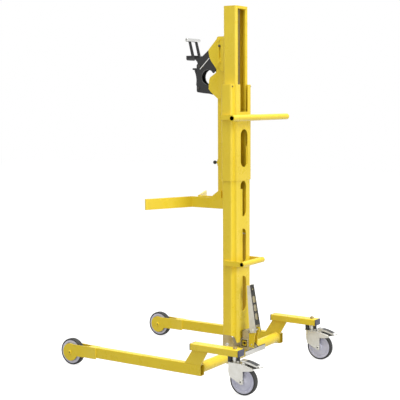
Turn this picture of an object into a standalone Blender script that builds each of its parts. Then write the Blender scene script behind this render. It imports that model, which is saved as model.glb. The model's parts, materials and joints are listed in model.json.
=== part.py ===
"""Drum lifter: straddle base on casters, telescoping mast and a rim clamp head.

Units are metres, +Z is up. The base, mast and head are laid out in the mast's own
coordinates: X = 0 is the middle of the mast, Y = 0 is the outer rear face of the mast
sleeve, -Y is the drum side and Z = 0 is the floor. One empty then shifts the whole
machine along Y, so that the middle of its footprint is the origin.
"""

import math

import bmesh
import bpy
from mathutils import Matrix, Vector

# Fits
SEAT = 0.0003            # gap between pieces that touch
WELD = 0.0002            # overlap of pieces that are welded into one
RUN = 0.0003             # gap round pins and slides
ROUND = 32               # sides of a wheel or large tube
ROUND_SMALL = 16         # sides of a pin, bolt or spacer

# Wheels, the same at all four corners
WHEEL_RADIUS = 0.0635
TYRE_WIDTH = 0.029
TYRE_DEPTH = 0.0075
HUB_GROOVE_RADIUS = 0.043
HUB_RIM_WIDTH = 0.027
HUB_FACE_WIDTH = 0.023
HUB_LENGTH = 0.0304
HUB_BOSS_RADIUS = 0.014
AXLE_RADIUS = 0.006
AXLE_COLLAR_RADIUS = 0.009
AXLE_HEAD_LENGTH = 0.005

# Straddle legs: rectangular tube
LEG_OUTER_X = 0.374
LEG_WIDTH = 0.030
LEG_HEIGHT = 0.050
LEG_WALL = 0.0025
LEG_BOTTOM_Z = 0.0526
LEG_FRONT_Y = -0.635
LEG_REAR_Y = 0.0

# Front wheel forks: two joggled plates on each leg
FORK_PLATE = 0.005
FORK_JOGGLE = 0.003
FORK_DISC_RADIUS = 0.042
FORK_LAP = 0.046
FORK_JOGGLE_START_Y = -0.660
FORK_JOGGLE_LENGTH = 0.019
FORK_NECK_BOTTOM_Z = 0.048
FRONT_AXLE_Y = -0.743

# Risers and caster arms behind the legs
RISER_PLATE = 0.008
RISER_BOTTOM_Y = (-0.084, 0.0)
RISER_TOP_Y = (-0.043, 0.036)
RISER_RISE = 0.063
ARM_CENTRE_X = 0.360
ARM_WIDTH = 0.050
ARM_HEIGHT = 0.030
ARM_WALL = 0.003
ARM_FRONT_Y = -0.046
ARM_REAR_Y = 0.197
CAP_THICKNESS = 0.0055
CAP_PLUG = 0.010

# Swivel casters
CASTER_AXIS_Y = 0.170
CASTER_TRAIL = 0.0448
CASTER_TOP_Z = 0.141
CASTER_SHEET = 0.0025
CASTER_FORK_WIDTH = 0.052
STEM_RADIUS = 0.006
STEM_FLANGE_RADIUS = 0.0098
STEM_FLANGE = 0.004
STEM_HEAD_RADIUS = 0.011
STEM_HEAD = 0.005
RACE_RADIUS = 0.010
LOCK_RADIUS = 0.011
LOCK_FROM_AXIS = -0.0245
POST_RADIUS = 0.007
POST_BASE_RADIUS = 0.009
POST_BASE = 0.006
POST_FROM_AXIS = 0.0175
NUT_RADIUS = 0.011
NUT_HEIGHT = 0.008
BRAKE_WIDTH = 0.030
BRAKE_PIN_RADIUS = 0.003
BRAKE_PIN_FROM_AXIS = 0.052
BRAKE_PIN_Z = 0.139
BRAKE_TIP_FROM_AXIS = 0.143

# Cross tube and the sleeve that carries the mast
CROSS_TUBE_RADIUS = 0.02415
CROSS_TUBE_WALL = 0.004
CROSS_TUBE_Y = -0.025
CROSS_TUBE_Z = 0.080
SLEEVE_TUBE_RADIUS = 0.031
SLEEVE_TUBE_HALF = 0.114

# Mast: three nested pressed sections, written for the outer sleeve
SHEET = 0.004
SLEEVE_REAR_HALF = 0.0645
SLEEVE_SIDE_HALF = 0.089
SLEEVE_SHOULDER_Y = -0.014
SLEEVE_FRONT_Y = -0.070
MAST_LIP_INNER_X = 0.057
SLEEVE_BOTTOM_Z = 0.892
SLEEVE_TOP_Z = 1.331
SLEEVE_NOTCH_Z = 1.207
SLOT_HALF = 0.0325
SLEEVE_SLOT_Z = (0.953, 1.127)
SLEEVE_SLOT_WIDTH = 0.060
LOWER_MAST_BOTTOM_Z = 0.117
LOWER_MAST_TOP_Z = 1.049
MAST_SIDE_BOTTOM_Z = 0.175
MAST_FOOT_TAPER_Y = -0.020
MAST_FOOT_TAPER_Z = 0.125
MAST_SLOT_WIDTH = 0.050
MAST_SLOT_LENGTH = 0.165
MAST_SLOT_PITCH = 0.222
MAST_TOP_SLOT_Z = 1.111
MAST_SLOT_COUNT = 4
MAST_FOOT_CUT_Z = 0.189
MAST_FOOT_CUT_HALF = 0.027
INNER_HALF = 0.054
INNER_FRONT_Y = -0.079
INNER_REAR_Y = -0.011
INNER_SHEET = 0.0045
INNER_LIP = 0.0125
BEND_INSIDE = 0.001
INNER_BOTTOM_Z = 0.642
INNER_TOP_Z = 1.673
MAST_CAP_HEIGHT = 0.013
BLOCK_LOWER_Z = (0.632, 0.672)
BLOCK_UPPER_LENGTH = 0.046
BLOCK_EDGE = 0.0015
FOOT_BRACKET_FRONT_Y = -0.065
FOOT_BRACKET_BOTTOM_Z = 0.095

# Lifting ram
BARREL_RADIUS = 0.022
BARREL_BORE = 0.0175
BARREL_BOTTOM_Z = 0.150
BARREL_TOP_Z = 0.850
GLAND_LENGTH = 0.012
RAM_Y = -0.034
ROD_RADIUS = 0.010
PISTON_Z = (0.690, 0.710)

# Handles
PUSH_HANDLE_RADIUS = 0.014
PUSH_HANDLE_BORE = 0.010
PUSH_HANDLE_HALF = 0.248
PUSH_HANDLE_Y = 0.086
PUSH_HANDLE_Z = 1.182
PUSH_ARM_FRONT_Y = -0.062
LOWER_HANDLE_RADIUS = 0.013
LOWER_HANDLE_BORE = 0.009
LOWER_HANDLE_HALF = 0.095
LOWER_HANDLE_Y = 0.043
LOWER_HANDLE_Z = 0.513
LOWER_ARM_FRONT_Y = -0.055
HANDLE_ARM = 0.010
HANDLE_ARM_HEIGHT = 0.023

# Foot pump
PUMP_HALF = 0.020
PUMP_FRONT_Y = 0.004
PUMP_REAR_Y = 0.036
PUMP_TOP_Z = 0.196
VALVE_WIDTH = 0.034
VALVE_DEPTH = 0.010
VALVE_Z = (0.116, 0.152)
PEDAL_PIVOT_Y = 0.0645
PEDAL_PIVOT_Z = 0.198
PEDAL_PIN_RADIUS = 0.005
PEDAL_TILT = math.radians(9.8)
PEDAL_LENGTH = 0.2095
PEDAL_TAIL = 0.012
PEDAL_WEB_START = 0.022
PEDAL_SHEET = 0.003
PEDAL_WEB_OFFSET = 0.0125
PEDAL_HALF_BOTTOM = 0.0225
PEDAL_HALF_TOP = 0.018
PEDAL_DEPTH_BOTTOM = 0.035
PEDAL_DEPTH_TOP = 0.016
PEDAL_HOLE_SIZE = (0.023, 0.034)
PEDAL_HOLES_AT = (0.061, 0.101, 0.141)
PEDAL_SMALL_HOLE = 0.0045
PEDAL_SMALL_HOLE_AT = 0.1875
EAR_THICKNESS = 0.005
RELEASE_PIVOT_Y = 0.050
RELEASE_PIVOT_Z = 0.128
RELEASE_PIN_RADIUS = 0.004
RELEASE_BAR_X = (-0.060, 0.118)
RELEASE_BAR_Y = (0.074, 0.080)
RELEASE_BAR_Z = (0.097, 0.121)

# Carriage bar and drum cradle
BAR_WIDTH = 0.050
BAR_WALL = 0.004
BAR_BOTTOM_Z = 0.757
BAR_TOP_Z = 1.550
CRADLE_STRIP = 0.008
CRADLE_BOTTOM_Z = 0.756
CRADLE_HEIGHT = 0.051
CRADLE_ARM_FRONT_Y = -0.274
CRADLE_WING_OUT = 0.230
CRADLE_WING_FORWARD = 0.108
CRADLE_ARM_REAR_Y = -0.084
BUMPER_Z = (0.945, 0.995)

# Clamp head
BRACKET_PLATE = 0.006
ADJUSTER_PLATE = 0.006
ADJUSTER_Y = (-0.124, -0.086)
ADJUSTER_Z = (1.391, 1.551)
ADJUSTER_SLOT_Z = (1.449, 1.509)
HEAD_BOLT_RADIUS = 0.004
HEAD_BOLT_HEAD = 0.0045
HEAD_BOLT_HEAD_RADIUS = 0.0065
HEAD_BOLTS = ((-0.111, 1.535), (-0.110, 1.434))
CHEEK_INNER_X = 0.0135
CHEEK_PLATE = 0.006
THROAT_Y = -0.187
THROAT_Z = 1.367
THROAT_RADIUS = 0.035
SPACERS = ((-0.155, 1.482), (-0.152, 1.452), (-0.158, 1.308), (-0.150, 1.332))
UPPER_PIN_Y = -0.233
UPPER_PIN_Z = 1.418
LOWER_PIN_Y = -0.237
LOWER_PIN_Z = 1.316
JAW_PIN_RADIUS = 0.005
JAW_PIN_HEAD = 0.0065
JAW_PIN_HEAD_LENGTH = 0.0025
LINK_RADIUS = 0.0025
STRAP_X = 0.027
STRAP_PLATE = 0.004
GRIP_RADIUS = 0.009
GRIP_HALF = 0.054
GRIP_Y = -0.281
GRIP_Z = 1.540

# Colours: name -> (red, green, blue, roughness, metallic)
FINISHES = {
    "yellow_enamel": (0.78, 0.55, 0.03, 0.45, 0.0),
    "black_enamel": (0.022, 0.022, 0.024, 0.35, 0.0),
    "zinc_plate": (0.66, 0.66, 0.62, 0.35, 0.9),
    "grey_nylon": (0.58, 0.58, 0.72, 0.5, 0.0),
    "black_rubber": (0.025, 0.025, 0.028, 0.8, 0.0),
    "dark_plastic": (0.04, 0.05, 0.07, 0.5, 0.0),
    "cream_nylon": (0.80, 0.76, 0.62, 0.5, 0.0),
    "bright_steel": (0.75, 0.75, 0.76, 0.2, 1.0),
    "cast_zinc": (0.55, 0.52, 0.42, 0.5, 0.6),
}

# Values that follow from the sizes above
LEG_TOP_Z = LEG_BOTTOM_Z + LEG_HEIGHT
LEG_CENTRE_X = LEG_OUTER_X - LEG_WIDTH / 2
ARM_BOTTOM_Z = LEG_TOP_Z + RISER_RISE + SEAT
ARM_TOP_Z = ARM_BOTTOM_Z + ARM_HEIGHT
MAST_FIT = SHEET + SEAT
MAST_SIDE_HALF = SLEEVE_SIDE_HALF - MAST_FIT
SLEEVE_BEND = 2 * SHEET + BEND_INSIDE
SHOULDER_BEND = -SLEEVE_SHOULDER_Y - SLEEVE_BEND - WELD
PUMP_FOOT_Z = CROSS_TUBE_Z + SLEEVE_TUBE_RADIUS - 0.010
BAR_REAR_Y = INNER_FRONT_Y - SEAT
BAR_FRONT_Y = BAR_REAR_Y - BAR_WIDTH
BRACKET_INNER_X = BAR_WIDTH / 2 + SEAT
BRACKET_OUTER_X = BRACKET_INNER_X + BRACKET_PLATE
CHEEK_OUTER_X = CHEEK_INNER_X + CHEEK_PLATE
BRAKE_PIN_Y = CASTER_AXIS_Y + BRAKE_PIN_FROM_AXIS
FRONT_END_Y = FRONT_AXLE_Y - WHEEL_RADIUS
REAR_END_Y = CASTER_AXIS_Y + BRAKE_TIP_FROM_AXIS
SHIFT_Y = -(FRONT_END_Y + REAR_END_Y) / 2

for old in list(bpy.data.objects):
    bpy.data.objects.remove(old, do_unlink=True)


def new_collection(name):
    """Return a fresh collection linked to the scene."""
    made = bpy.data.collections.new(name)
    bpy.context.scene.collection.children.link(made)
    return made


PARTS = new_collection("drum_lifter")
CUTTERS = new_collection("cutters")


def make_material(name):
    """Return the named finish as a Principled material."""
    found = bpy.data.materials.get(name)
    if found:
        return found
    red, green, blue, roughness, metallic = FINISHES[name]
    made = bpy.data.materials.new(name)
    made.use_nodes = True
    shader = made.node_tree.nodes["Principled BSDF"]
    shader.inputs["Base Color"].default_value = (red, green, blue, 1.0)
    shader.inputs["Roughness"].default_value = roughness
    shader.inputs["Metallic"].default_value = metallic
    made.diffuse_color = (red, green, blue, 1.0)
    return made


def make_empty(name, place, parent=None):
    """Return an empty at a place in mast coordinates; it stands for a joint's axis."""
    made = bpy.data.objects.new(name, None)
    made.empty_display_size = 0.05
    PARTS.objects.link(made)
    made.parent = parent
    made["place"] = tuple(place)
    base = Vector(parent["place"]) if parent else Vector((0.0, 0.0, 0.0))
    made.location = Vector(place) - base
    return made


def loose(mesh):
    """Return a scratch object that holds a mesh while it is shaped."""
    made = bpy.data.objects.new("shape", mesh)
    CUTTERS.objects.link(made)
    return made


def baked(piece):
    """Apply a scratch object's modifiers and return its mesh."""
    bpy.context.view_layer.update()
    graph = bpy.context.evaluated_depsgraph_get()
    mesh = bpy.data.meshes.new_from_object(piece.evaluated_get(graph))
    bpy.data.objects.remove(piece, do_unlink=True)
    return mesh


def weld(mesh):
    """Merge the points that lie on each other and turn the faces outwards."""
    work = bmesh.new()
    work.from_mesh(mesh)
    bmesh.ops.remove_doubles(work, verts=work.verts, dist=0.000001)
    bmesh.ops.recalc_face_normals(work, faces=work.faces)
    work.to_mesh(mesh)
    work.free()
    return mesh


def block(x, y, z):
    """Return a box mesh between the given (low, high) pairs."""
    work = bmesh.new()
    bmesh.ops.create_cube(work, size=1.0)
    sizes = [high - low for low, high in (x, y, z)]
    middle = [(high + low) / 2 for low, high in (x, y, z)]
    matrix = Matrix.Translation(middle) @ Matrix.Diagonal((*sizes, 1.0))
    bmesh.ops.transform(work, matrix=matrix, verts=work.verts)
    mesh = bpy.data.meshes.new("block")
    work.to_mesh(mesh)
    work.free()
    return mesh


def rod(start, end, radius, sides=ROUND_SMALL, tip_radius=None):
    """Return a capped cylinder or cone mesh from start to end."""
    start = Vector(start)
    along = Vector(end) - start
    work = bmesh.new()
    bmesh.ops.create_cone(work, cap_ends=True, segments=sides, radius1=radius,
                          radius2=radius if tip_radius is None else tip_radius,
                          depth=along.length)
    turn = along.to_track_quat("Z", "Y").to_matrix().to_4x4()
    matrix = Matrix.Translation(start + along / 2) @ turn
    bmesh.ops.transform(work, matrix=matrix, verts=work.verts)
    mesh = bpy.data.meshes.new("rod")
    work.to_mesh(mesh)
    work.free()
    return mesh


AXIS_TURNS = {
    "X": Matrix.Rotation(math.radians(90), 4, "Y"),
    "Y": Matrix.Rotation(math.radians(-90), 4, "X"),
    "Z": Matrix.Identity(4),
}


def turned(profile, centre, axis="Z", sides=ROUND, ring=True):
    """Turn a profile of (radius, height) points about an axis through centre.

    The points run down the outer side. A ring closes on itself; any other profile
    starts and ends on the axis.
    """
    work = bmesh.new()
    points = [work.verts.new((radius, 0.0, height)) for radius, height in profile]
    links = zip(points, points[1:] + points[:1]) if ring else zip(points, points[1:])
    for first, second in links:
        work.edges.new((first, second))
    mesh = bpy.data.meshes.new("turned")
    work.to_mesh(mesh)
    work.free()
    piece = loose(mesh)
    screw = piece.modifiers.new("turn", "SCREW")
    screw.axis = "Z"
    screw.steps = sides
    screw.render_steps = sides
    screw.use_merge_vertices = True
    screw.merge_threshold = 0.00001
    mesh = weld(baked(piece))
    mesh.transform(Matrix.Translation(centre) @ AXIS_TURNS[axis])
    return mesh


def outline_mesh(points, thickness):
    """Return a flat plate mesh in its own XY plane from an outline."""
    curve = bpy.data.curves.new("outline", "CURVE")
    curve.dimensions = "2D"
    curve.fill_mode = "BOTH"
    curve.extrude = thickness / 2
    spline = curve.splines.new("POLY")
    spline.points.add(len(points) - 1)
    for point, (first, second) in zip(spline.points, points):
        point.co = (first, second, 0.0, 1.0)
    spline.use_cyclic_u = True
    return weld(baked(loose(curve)))


def side_plate(points, x):
    """Return a plate whose outline is given in (Y, Z), between two X values."""
    mesh = outline_mesh(points, x[1] - x[0])
    to_side = Matrix(((0, 0, 1, 0), (1, 0, 0, 0), (0, 1, 0, 0), (0, 0, 0, 1)))
    mesh.transform(Matrix.Translation(((x[0] + x[1]) / 2, 0, 0)) @ to_side)
    return mesh


def rear_plate(points, y):
    """Return a plate whose outline is given in (X, Z), between two Y values."""
    mesh = outline_mesh(points, y[1] - y[0])
    to_rear = Matrix(((1, 0, 0, 0), (0, 0, -1, 0), (0, 1, 0, 0), (0, 0, 0, 1)))
    mesh.transform(Matrix.Translation((0, (y[0] + y[1]) / 2, 0)) @ to_rear)
    return mesh


def arc(centre, radius, start, end, count):
    """Return points on an arc, angles in degrees, both ends included."""
    points = []
    for index in range(count + 1):
        angle = math.radians(start + (end - start) * index / count)
        points.append((centre[0] + radius * math.cos(angle),
                       centre[1] + radius * math.sin(angle)))
    return points


def obround(centre, width, length, count=8):
    """Return the outline of an upright slot with round ends."""
    reach = length / 2 - width / 2
    top = arc((centre[0], centre[1] + reach), width / 2, 0, 180, count)
    bottom = arc((centre[0], centre[1] - reach), width / 2, 180, 360, count)
    return top + bottom


def with_boolean(mesh, tool, operation):
    """Return the mesh after one exact boolean with a tool mesh."""
    piece = loose(mesh)
    cutter = loose(tool)
    cutter.hide_render = True
    cutter.display_type = "WIRE"
    change = piece.modifiers.new("boolean", "BOOLEAN")
    change.operation = operation
    change.solver = "EXACT"
    change.object = cutter
    result = baked(piece)
    bpy.data.objects.remove(cutter, do_unlink=True)
    return result


def cut(mesh, *tools):
    """Return the mesh with every tool cut out of it."""
    for tool in tools:
        mesh = with_boolean(mesh, tool, "DIFFERENCE")
    return mesh


def joined(mesh, *others):
    """Return the mesh welded with the others into one body."""
    for other in others:
        mesh = with_boolean(mesh, other, "UNION")
    return mesh


def mirrored(mesh):
    """Return a copy on the other side of X = 0, with its faces still outwards."""
    copy = mesh.copy()
    copy.transform(Matrix.Diagonal((-1, 1, 1, 1)))
    copy.flip_normals()
    return copy


def bevelled(mesh, width, segments=1, angle=60):
    """Return the mesh with its sharp edges rounded."""
    piece = loose(mesh)
    bevel = piece.modifiers.new("round", "BEVEL")
    bevel.width = width
    bevel.segments = segments
    bevel.limit_method = "ANGLE"
    bevel.angle_limit = math.radians(angle)
    return baked(piece)


def strip(path, bottom, top, thickness, offset=-1.0):
    """Return a sheet folded along an open (X, Y) path, from bottom to top."""
    work = bmesh.new()
    low = [work.verts.new((x, y, bottom)) for x, y in path]
    high = [work.verts.new((x, y, top)) for x, y in path]
    for index in range(len(path) - 1):
        work.faces.new((low[index], low[index + 1], high[index + 1], high[index]))
    mesh = bpy.data.meshes.new("strip")
    work.to_mesh(mesh)
    work.free()
    piece = loose(mesh)
    solid = piece.modifiers.new("sheet", "SOLIDIFY")
    solid.thickness = thickness
    solid.offset = offset
    solid.use_even_offset = True
    return weld(baked(piece))


def rect_tube(x, y, z, wall, along="Y"):
    """Return an open rectangular tube with softly rounded corners."""
    work = bmesh.new()
    work.from_mesh(block(x, y, z))
    axis = "XYZ".index(along)
    ends = [face for face in work.faces if abs(face.normal[axis]) > 0.9]
    bmesh.ops.delete(work, geom=ends, context="FACES_ONLY")
    corners = []
    for edge in work.edges:
        way = (edge.verts[0].co - edge.verts[1].co).normalized()
        if abs(way[axis]) > 0.9:
            corners.append(edge)
    bmesh.ops.bevel(work, geom=corners, offset=wall, segments=2, profile=0.5,
                    affect="EDGES")
    bmesh.ops.recalc_face_normals(work, faces=work.faces)
    mesh = bpy.data.meshes.new("tube")
    work.to_mesh(mesh)
    work.free()
    piece = loose(mesh)
    solid = piece.modifiers.new("wall", "SOLIDIFY")
    solid.thickness = wall
    solid.offset = -1.0
    solid.use_even_offset = True
    return weld(baked(piece))


def ring(centre, axis, outer, inner, half):
    """Return a plain tube of the given radii about an axis."""
    profile = [(outer, half), (outer, -half), (inner, -half), (inner, half)]
    return turned(profile, centre, axis)


def node(name, mesh, finish, parent):
    """Put a finished mesh into the parts collection under its joint's empty."""
    mesh.name = name
    made = bpy.data.objects.new(name, mesh)
    PARTS.objects.link(made)
    mesh.materials.clear()
    mesh.materials.append(make_material(finish))
    mesh.shade_smooth()
    mesh.set_sharp_from_angle(angle=math.radians(35))
    made.parent = parent
    made.location = -Vector(parent["place"])
    return made


# Joint axes
BASE = make_empty("base", (0.0, 0.0, 0.0))
BASE.location.y = SHIFT_Y
LIFT = make_empty("lift_axis", (0.0, RAM_Y, INNER_BOTTOM_Z), BASE)
UPPER_JAW = make_empty("upper_jaw_axis", (0.0, UPPER_PIN_Y, UPPER_PIN_Z), LIFT)
LOWER_JAW = make_empty("lower_jaw_axis", (0.0, LOWER_PIN_Y, LOWER_PIN_Z), LIFT)
PEDAL = make_empty("pump_pedal_axis", (0.0, PEDAL_PIVOT_Y, PEDAL_PIVOT_Z), BASE)
RELEASE = make_empty("release_pedal_axis", (0.0, RELEASE_PIVOT_Y, RELEASE_PIVOT_Z), BASE)


def add_wheel(side, name, x, y, parent):
    """Add a moulded hub and its tyre, centred on the axle."""
    centre = (x, y, WHEEL_RADIUS)
    seat = WHEEL_RADIUS - TYRE_DEPTH
    half = TYRE_WIDTH / 2
    tyre = [(seat, half - 0.0005), (seat + 0.003, half), (seat + 0.006, half - 0.0025),
            (WHEEL_RADIUS, half - 0.007), (WHEEL_RADIUS, 0.007 - half),
            (seat + 0.006, 0.0025 - half), (seat + 0.003, -half), (seat, 0.0005 - half)]
    node(f"{name}_tyre_{side}", turned(tyre, centre, "X"), "black_rubber", parent)
    rim = HUB_RIM_WIDTH / 2
    face = HUB_FACE_WIDTH / 2
    boss = HUB_LENGTH / 2
    outer = [(HUB_BOSS_RADIUS, boss), (HUB_BOSS_RADIUS + 0.001, face),
             (HUB_GROOVE_RADIUS - 0.001, face), (HUB_GROOVE_RADIUS + 0.0005, rim),
             (seat - SEAT, rim)]
    inner = [(radius, -height) for radius, height in reversed(outer)]
    bore = AXLE_RADIUS + RUN
    profile = [(bore, boss)] + outer + inner + [(bore, -boss)]
    node(f"{name}_hub_{side}", turned(profile, centre, "X"), "grey_nylon", parent)


def axle(x, y, plate_inner, plate_outer):
    """Return an axle bolt with collars that hold the wheel between its plates."""
    hub = HUB_LENGTH / 2 + RUN
    head = AXLE_COLLAR_RADIUS + 0.0005
    half = [(0.0, plate_outer + SEAT + AXLE_HEAD_LENGTH),
            (head - 0.002, plate_outer + SEAT + AXLE_HEAD_LENGTH),
            (head, plate_outer + SEAT + AXLE_HEAD_LENGTH - 0.002),
            (head, plate_outer + SEAT), (AXLE_RADIUS, plate_outer + SEAT),
            (AXLE_RADIUS, plate_inner - SEAT), (AXLE_COLLAR_RADIUS, plate_inner - SEAT),
            (AXLE_COLLAR_RADIUS, hub), (AXLE_RADIUS, hub)]
    other = [(radius, -height) for radius, height in reversed(half)]
    return turned(half + other, (x, y, WHEEL_RADIUS), "X", ROUND_SMALL, ring=False)


def axle_hole(x, y, half):
    """Return the cutter for an axle's hole through plates."""
    return rod((x - half, y, WHEEL_RADIUS), (x + half, y, WHEEL_RADIUS),
               AXLE_RADIUS + RUN)


def fork_plate(inner, sign, centre_x):
    """Return one joggled plate beside a front wheel."""
    centre = (FRONT_AXLE_Y, WHEEL_RADIUS)
    rise = LEG_TOP_Z - WHEEL_RADIUS
    drop = FORK_NECK_BOTTOM_Z - WHEEL_RADIUS
    top = math.degrees(math.asin(rise / FORK_DISC_RADIUS))
    bottom = math.degrees(math.asin(drop / FORK_DISC_RADIUS))
    rear_y = LEG_FRONT_Y + FORK_LAP
    outline = [(rear_y, LEG_TOP_Z)] + arc(centre, FORK_DISC_RADIUS, top, 360 + bottom, 24)
    outline += [(rear_y, FORK_NECK_BOTTOM_Z)]
    mesh = side_plate(outline, (inner, inner + FORK_PLATE))
    work = bmesh.new()
    work.from_mesh(mesh)
    joggle_end_y = FORK_JOGGLE_START_Y - FORK_JOGGLE_LENGTH
    for fold_y in (FORK_JOGGLE_START_Y, joggle_end_y):
        everything = list(work.verts) + list(work.edges) + list(work.faces)
        bmesh.ops.bisect_plane(work, geom=everything, dist=0.000001,
                               plane_co=(0, fold_y, 0), plane_no=(0, 1, 0))
    for point in work.verts:
        if point.co.y < joggle_end_y + 0.0001:
            point.co.x += FORK_JOGGLE
    work.to_mesh(mesh)
    work.free()
    if sign < 0:
        mesh = mirrored(mesh)
    mesh.transform(Matrix.Translation((centre_x, 0, 0)))
    return cut(mesh, axle_hole(centre_x, FRONT_AXLE_Y, 0.05))


def end_cap(x, end_y, way):
    """Return a moulded plug with a lip that closes the end of a caster arm."""
    lip_y = sorted((end_y + way * SEAT, end_y + way * (SEAT + CAP_THICKNESS)))
    lip = block((x - ARM_WIDTH / 2, x + ARM_WIDTH / 2), lip_y, (ARM_BOTTOM_Z, ARM_TOP_Z))
    inset = ARM_WALL + SEAT
    plug_y = sorted((end_y - way * CAP_PLUG, end_y + way * (SEAT + CAP_THICKNESS / 2)))
    chamfer = 0.002
    plug = block((x - ARM_WIDTH / 2 + inset, x + ARM_WIDTH / 2 - inset), plug_y,
                 (ARM_BOTTOM_Z + inset, ARM_TOP_Z - inset))
    return joined(bevelled(lip, chamfer), bevelled(plug, chamfer))


def add_leg(side, sign):
    """Add a leg with its front fork plates, wheel, riser and caster arm."""
    x = sign * LEG_CENTRE_X
    half = LEG_WIDTH / 2
    tube = rect_tube((x - half, x + half), (LEG_FRONT_Y, LEG_REAR_Y),
                     (LEG_BOTTOM_Z, LEG_TOP_Z), LEG_WALL)
    inner = half - WELD
    riser_x = x + half - RISER_PLATE
    bottom = LEG_TOP_Z - WELD
    top = LEG_TOP_Z + RISER_RISE
    outline = [(RISER_BOTTOM_Y[0], bottom), (RISER_BOTTOM_Y[1], bottom),
               (RISER_TOP_Y[1], top), (RISER_TOP_Y[0], top)]
    riser = side_plate(outline, (riser_x, riser_x + RISER_PLATE))
    leg = joined(tube, fork_plate(inner, 1, x), fork_plate(inner, -1, x), riser)
    node(f"leg_{side}", leg, "yellow_enamel", BASE)
    hub = make_empty(f"front_wheel_axis_{side}", (x, FRONT_AXLE_Y, WHEEL_RADIUS), BASE)
    add_wheel(side, "front", x, FRONT_AXLE_Y, hub)
    bolt = axle(x, FRONT_AXLE_Y, half + FORK_JOGGLE, half + FORK_JOGGLE + FORK_PLATE)
    node(f"front_axle_{side}", bolt, "zinc_plate", BASE)

    arm_x = sign * ARM_CENTRE_X
    arm = rect_tube((arm_x - ARM_WIDTH / 2, arm_x + ARM_WIDTH / 2),
                    (ARM_FRONT_Y, ARM_REAR_Y), (ARM_BOTTOM_Z, ARM_TOP_Z), ARM_WALL)
    stem_hole = rod((arm_x, CASTER_AXIS_Y, ARM_BOTTOM_Z - 0.01),
                    (arm_x, CASTER_AXIS_Y, ARM_TOP_Z + 0.01), STEM_RADIUS + SEAT)
    node(f"caster_arm_{side}", cut(arm, stem_hole), "yellow_enamel", BASE)
    node(f"arm_cap_front_{side}", end_cap(arm_x, ARM_FRONT_Y, -1), "dark_plastic", BASE)
    node(f"arm_cap_rear_{side}", end_cap(arm_x, ARM_REAR_Y, 1), "dark_plastic", BASE)


for side, sign in (("left", 1), ("right", -1)):
    add_leg(side, sign)


# Casters
AXLE_Y = CASTER_AXIS_Y + CASTER_TRAIL
RACE_TOP_Z = ARM_BOTTOM_Z - SEAT - STEM_FLANGE - RUN


def stem(x):
    """Return the king pin: head under the fork, flange under the arm, nut on top."""
    plate_z = CASTER_TOP_Z - CASTER_SHEET
    top = ARM_TOP_Z + SEAT
    profile = [(0.0, top + NUT_HEIGHT + 0.003), (STEM_RADIUS, top + NUT_HEIGHT + 0.003),
               (STEM_RADIUS, ARM_BOTTOM_Z - SEAT),
               (STEM_FLANGE_RADIUS, ARM_BOTTOM_Z - SEAT),
               (STEM_FLANGE_RADIUS, ARM_BOTTOM_Z - SEAT - STEM_FLANGE),
               (STEM_RADIUS, ARM_BOTTOM_Z - SEAT - STEM_FLANGE),
               (STEM_RADIUS, plate_z - RUN),
               (STEM_HEAD_RADIUS, plate_z - RUN),
               (STEM_HEAD_RADIUS, plate_z - RUN - STEM_HEAD + 0.001),
               (STEM_HEAD_RADIUS - 0.001, plate_z - RUN - STEM_HEAD),
               (0.0, plate_z - RUN - STEM_HEAD)]
    pin = turned(profile, (x, CASTER_AXIS_Y, 0.0), "Z", ROUND_SMALL, ring=False)
    nut = rod((x, CASTER_AXIS_Y, top), (x, CASTER_AXIS_Y, top + NUT_HEIGHT), NUT_RADIUS, 6)
    return joined(pin, nut)


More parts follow.
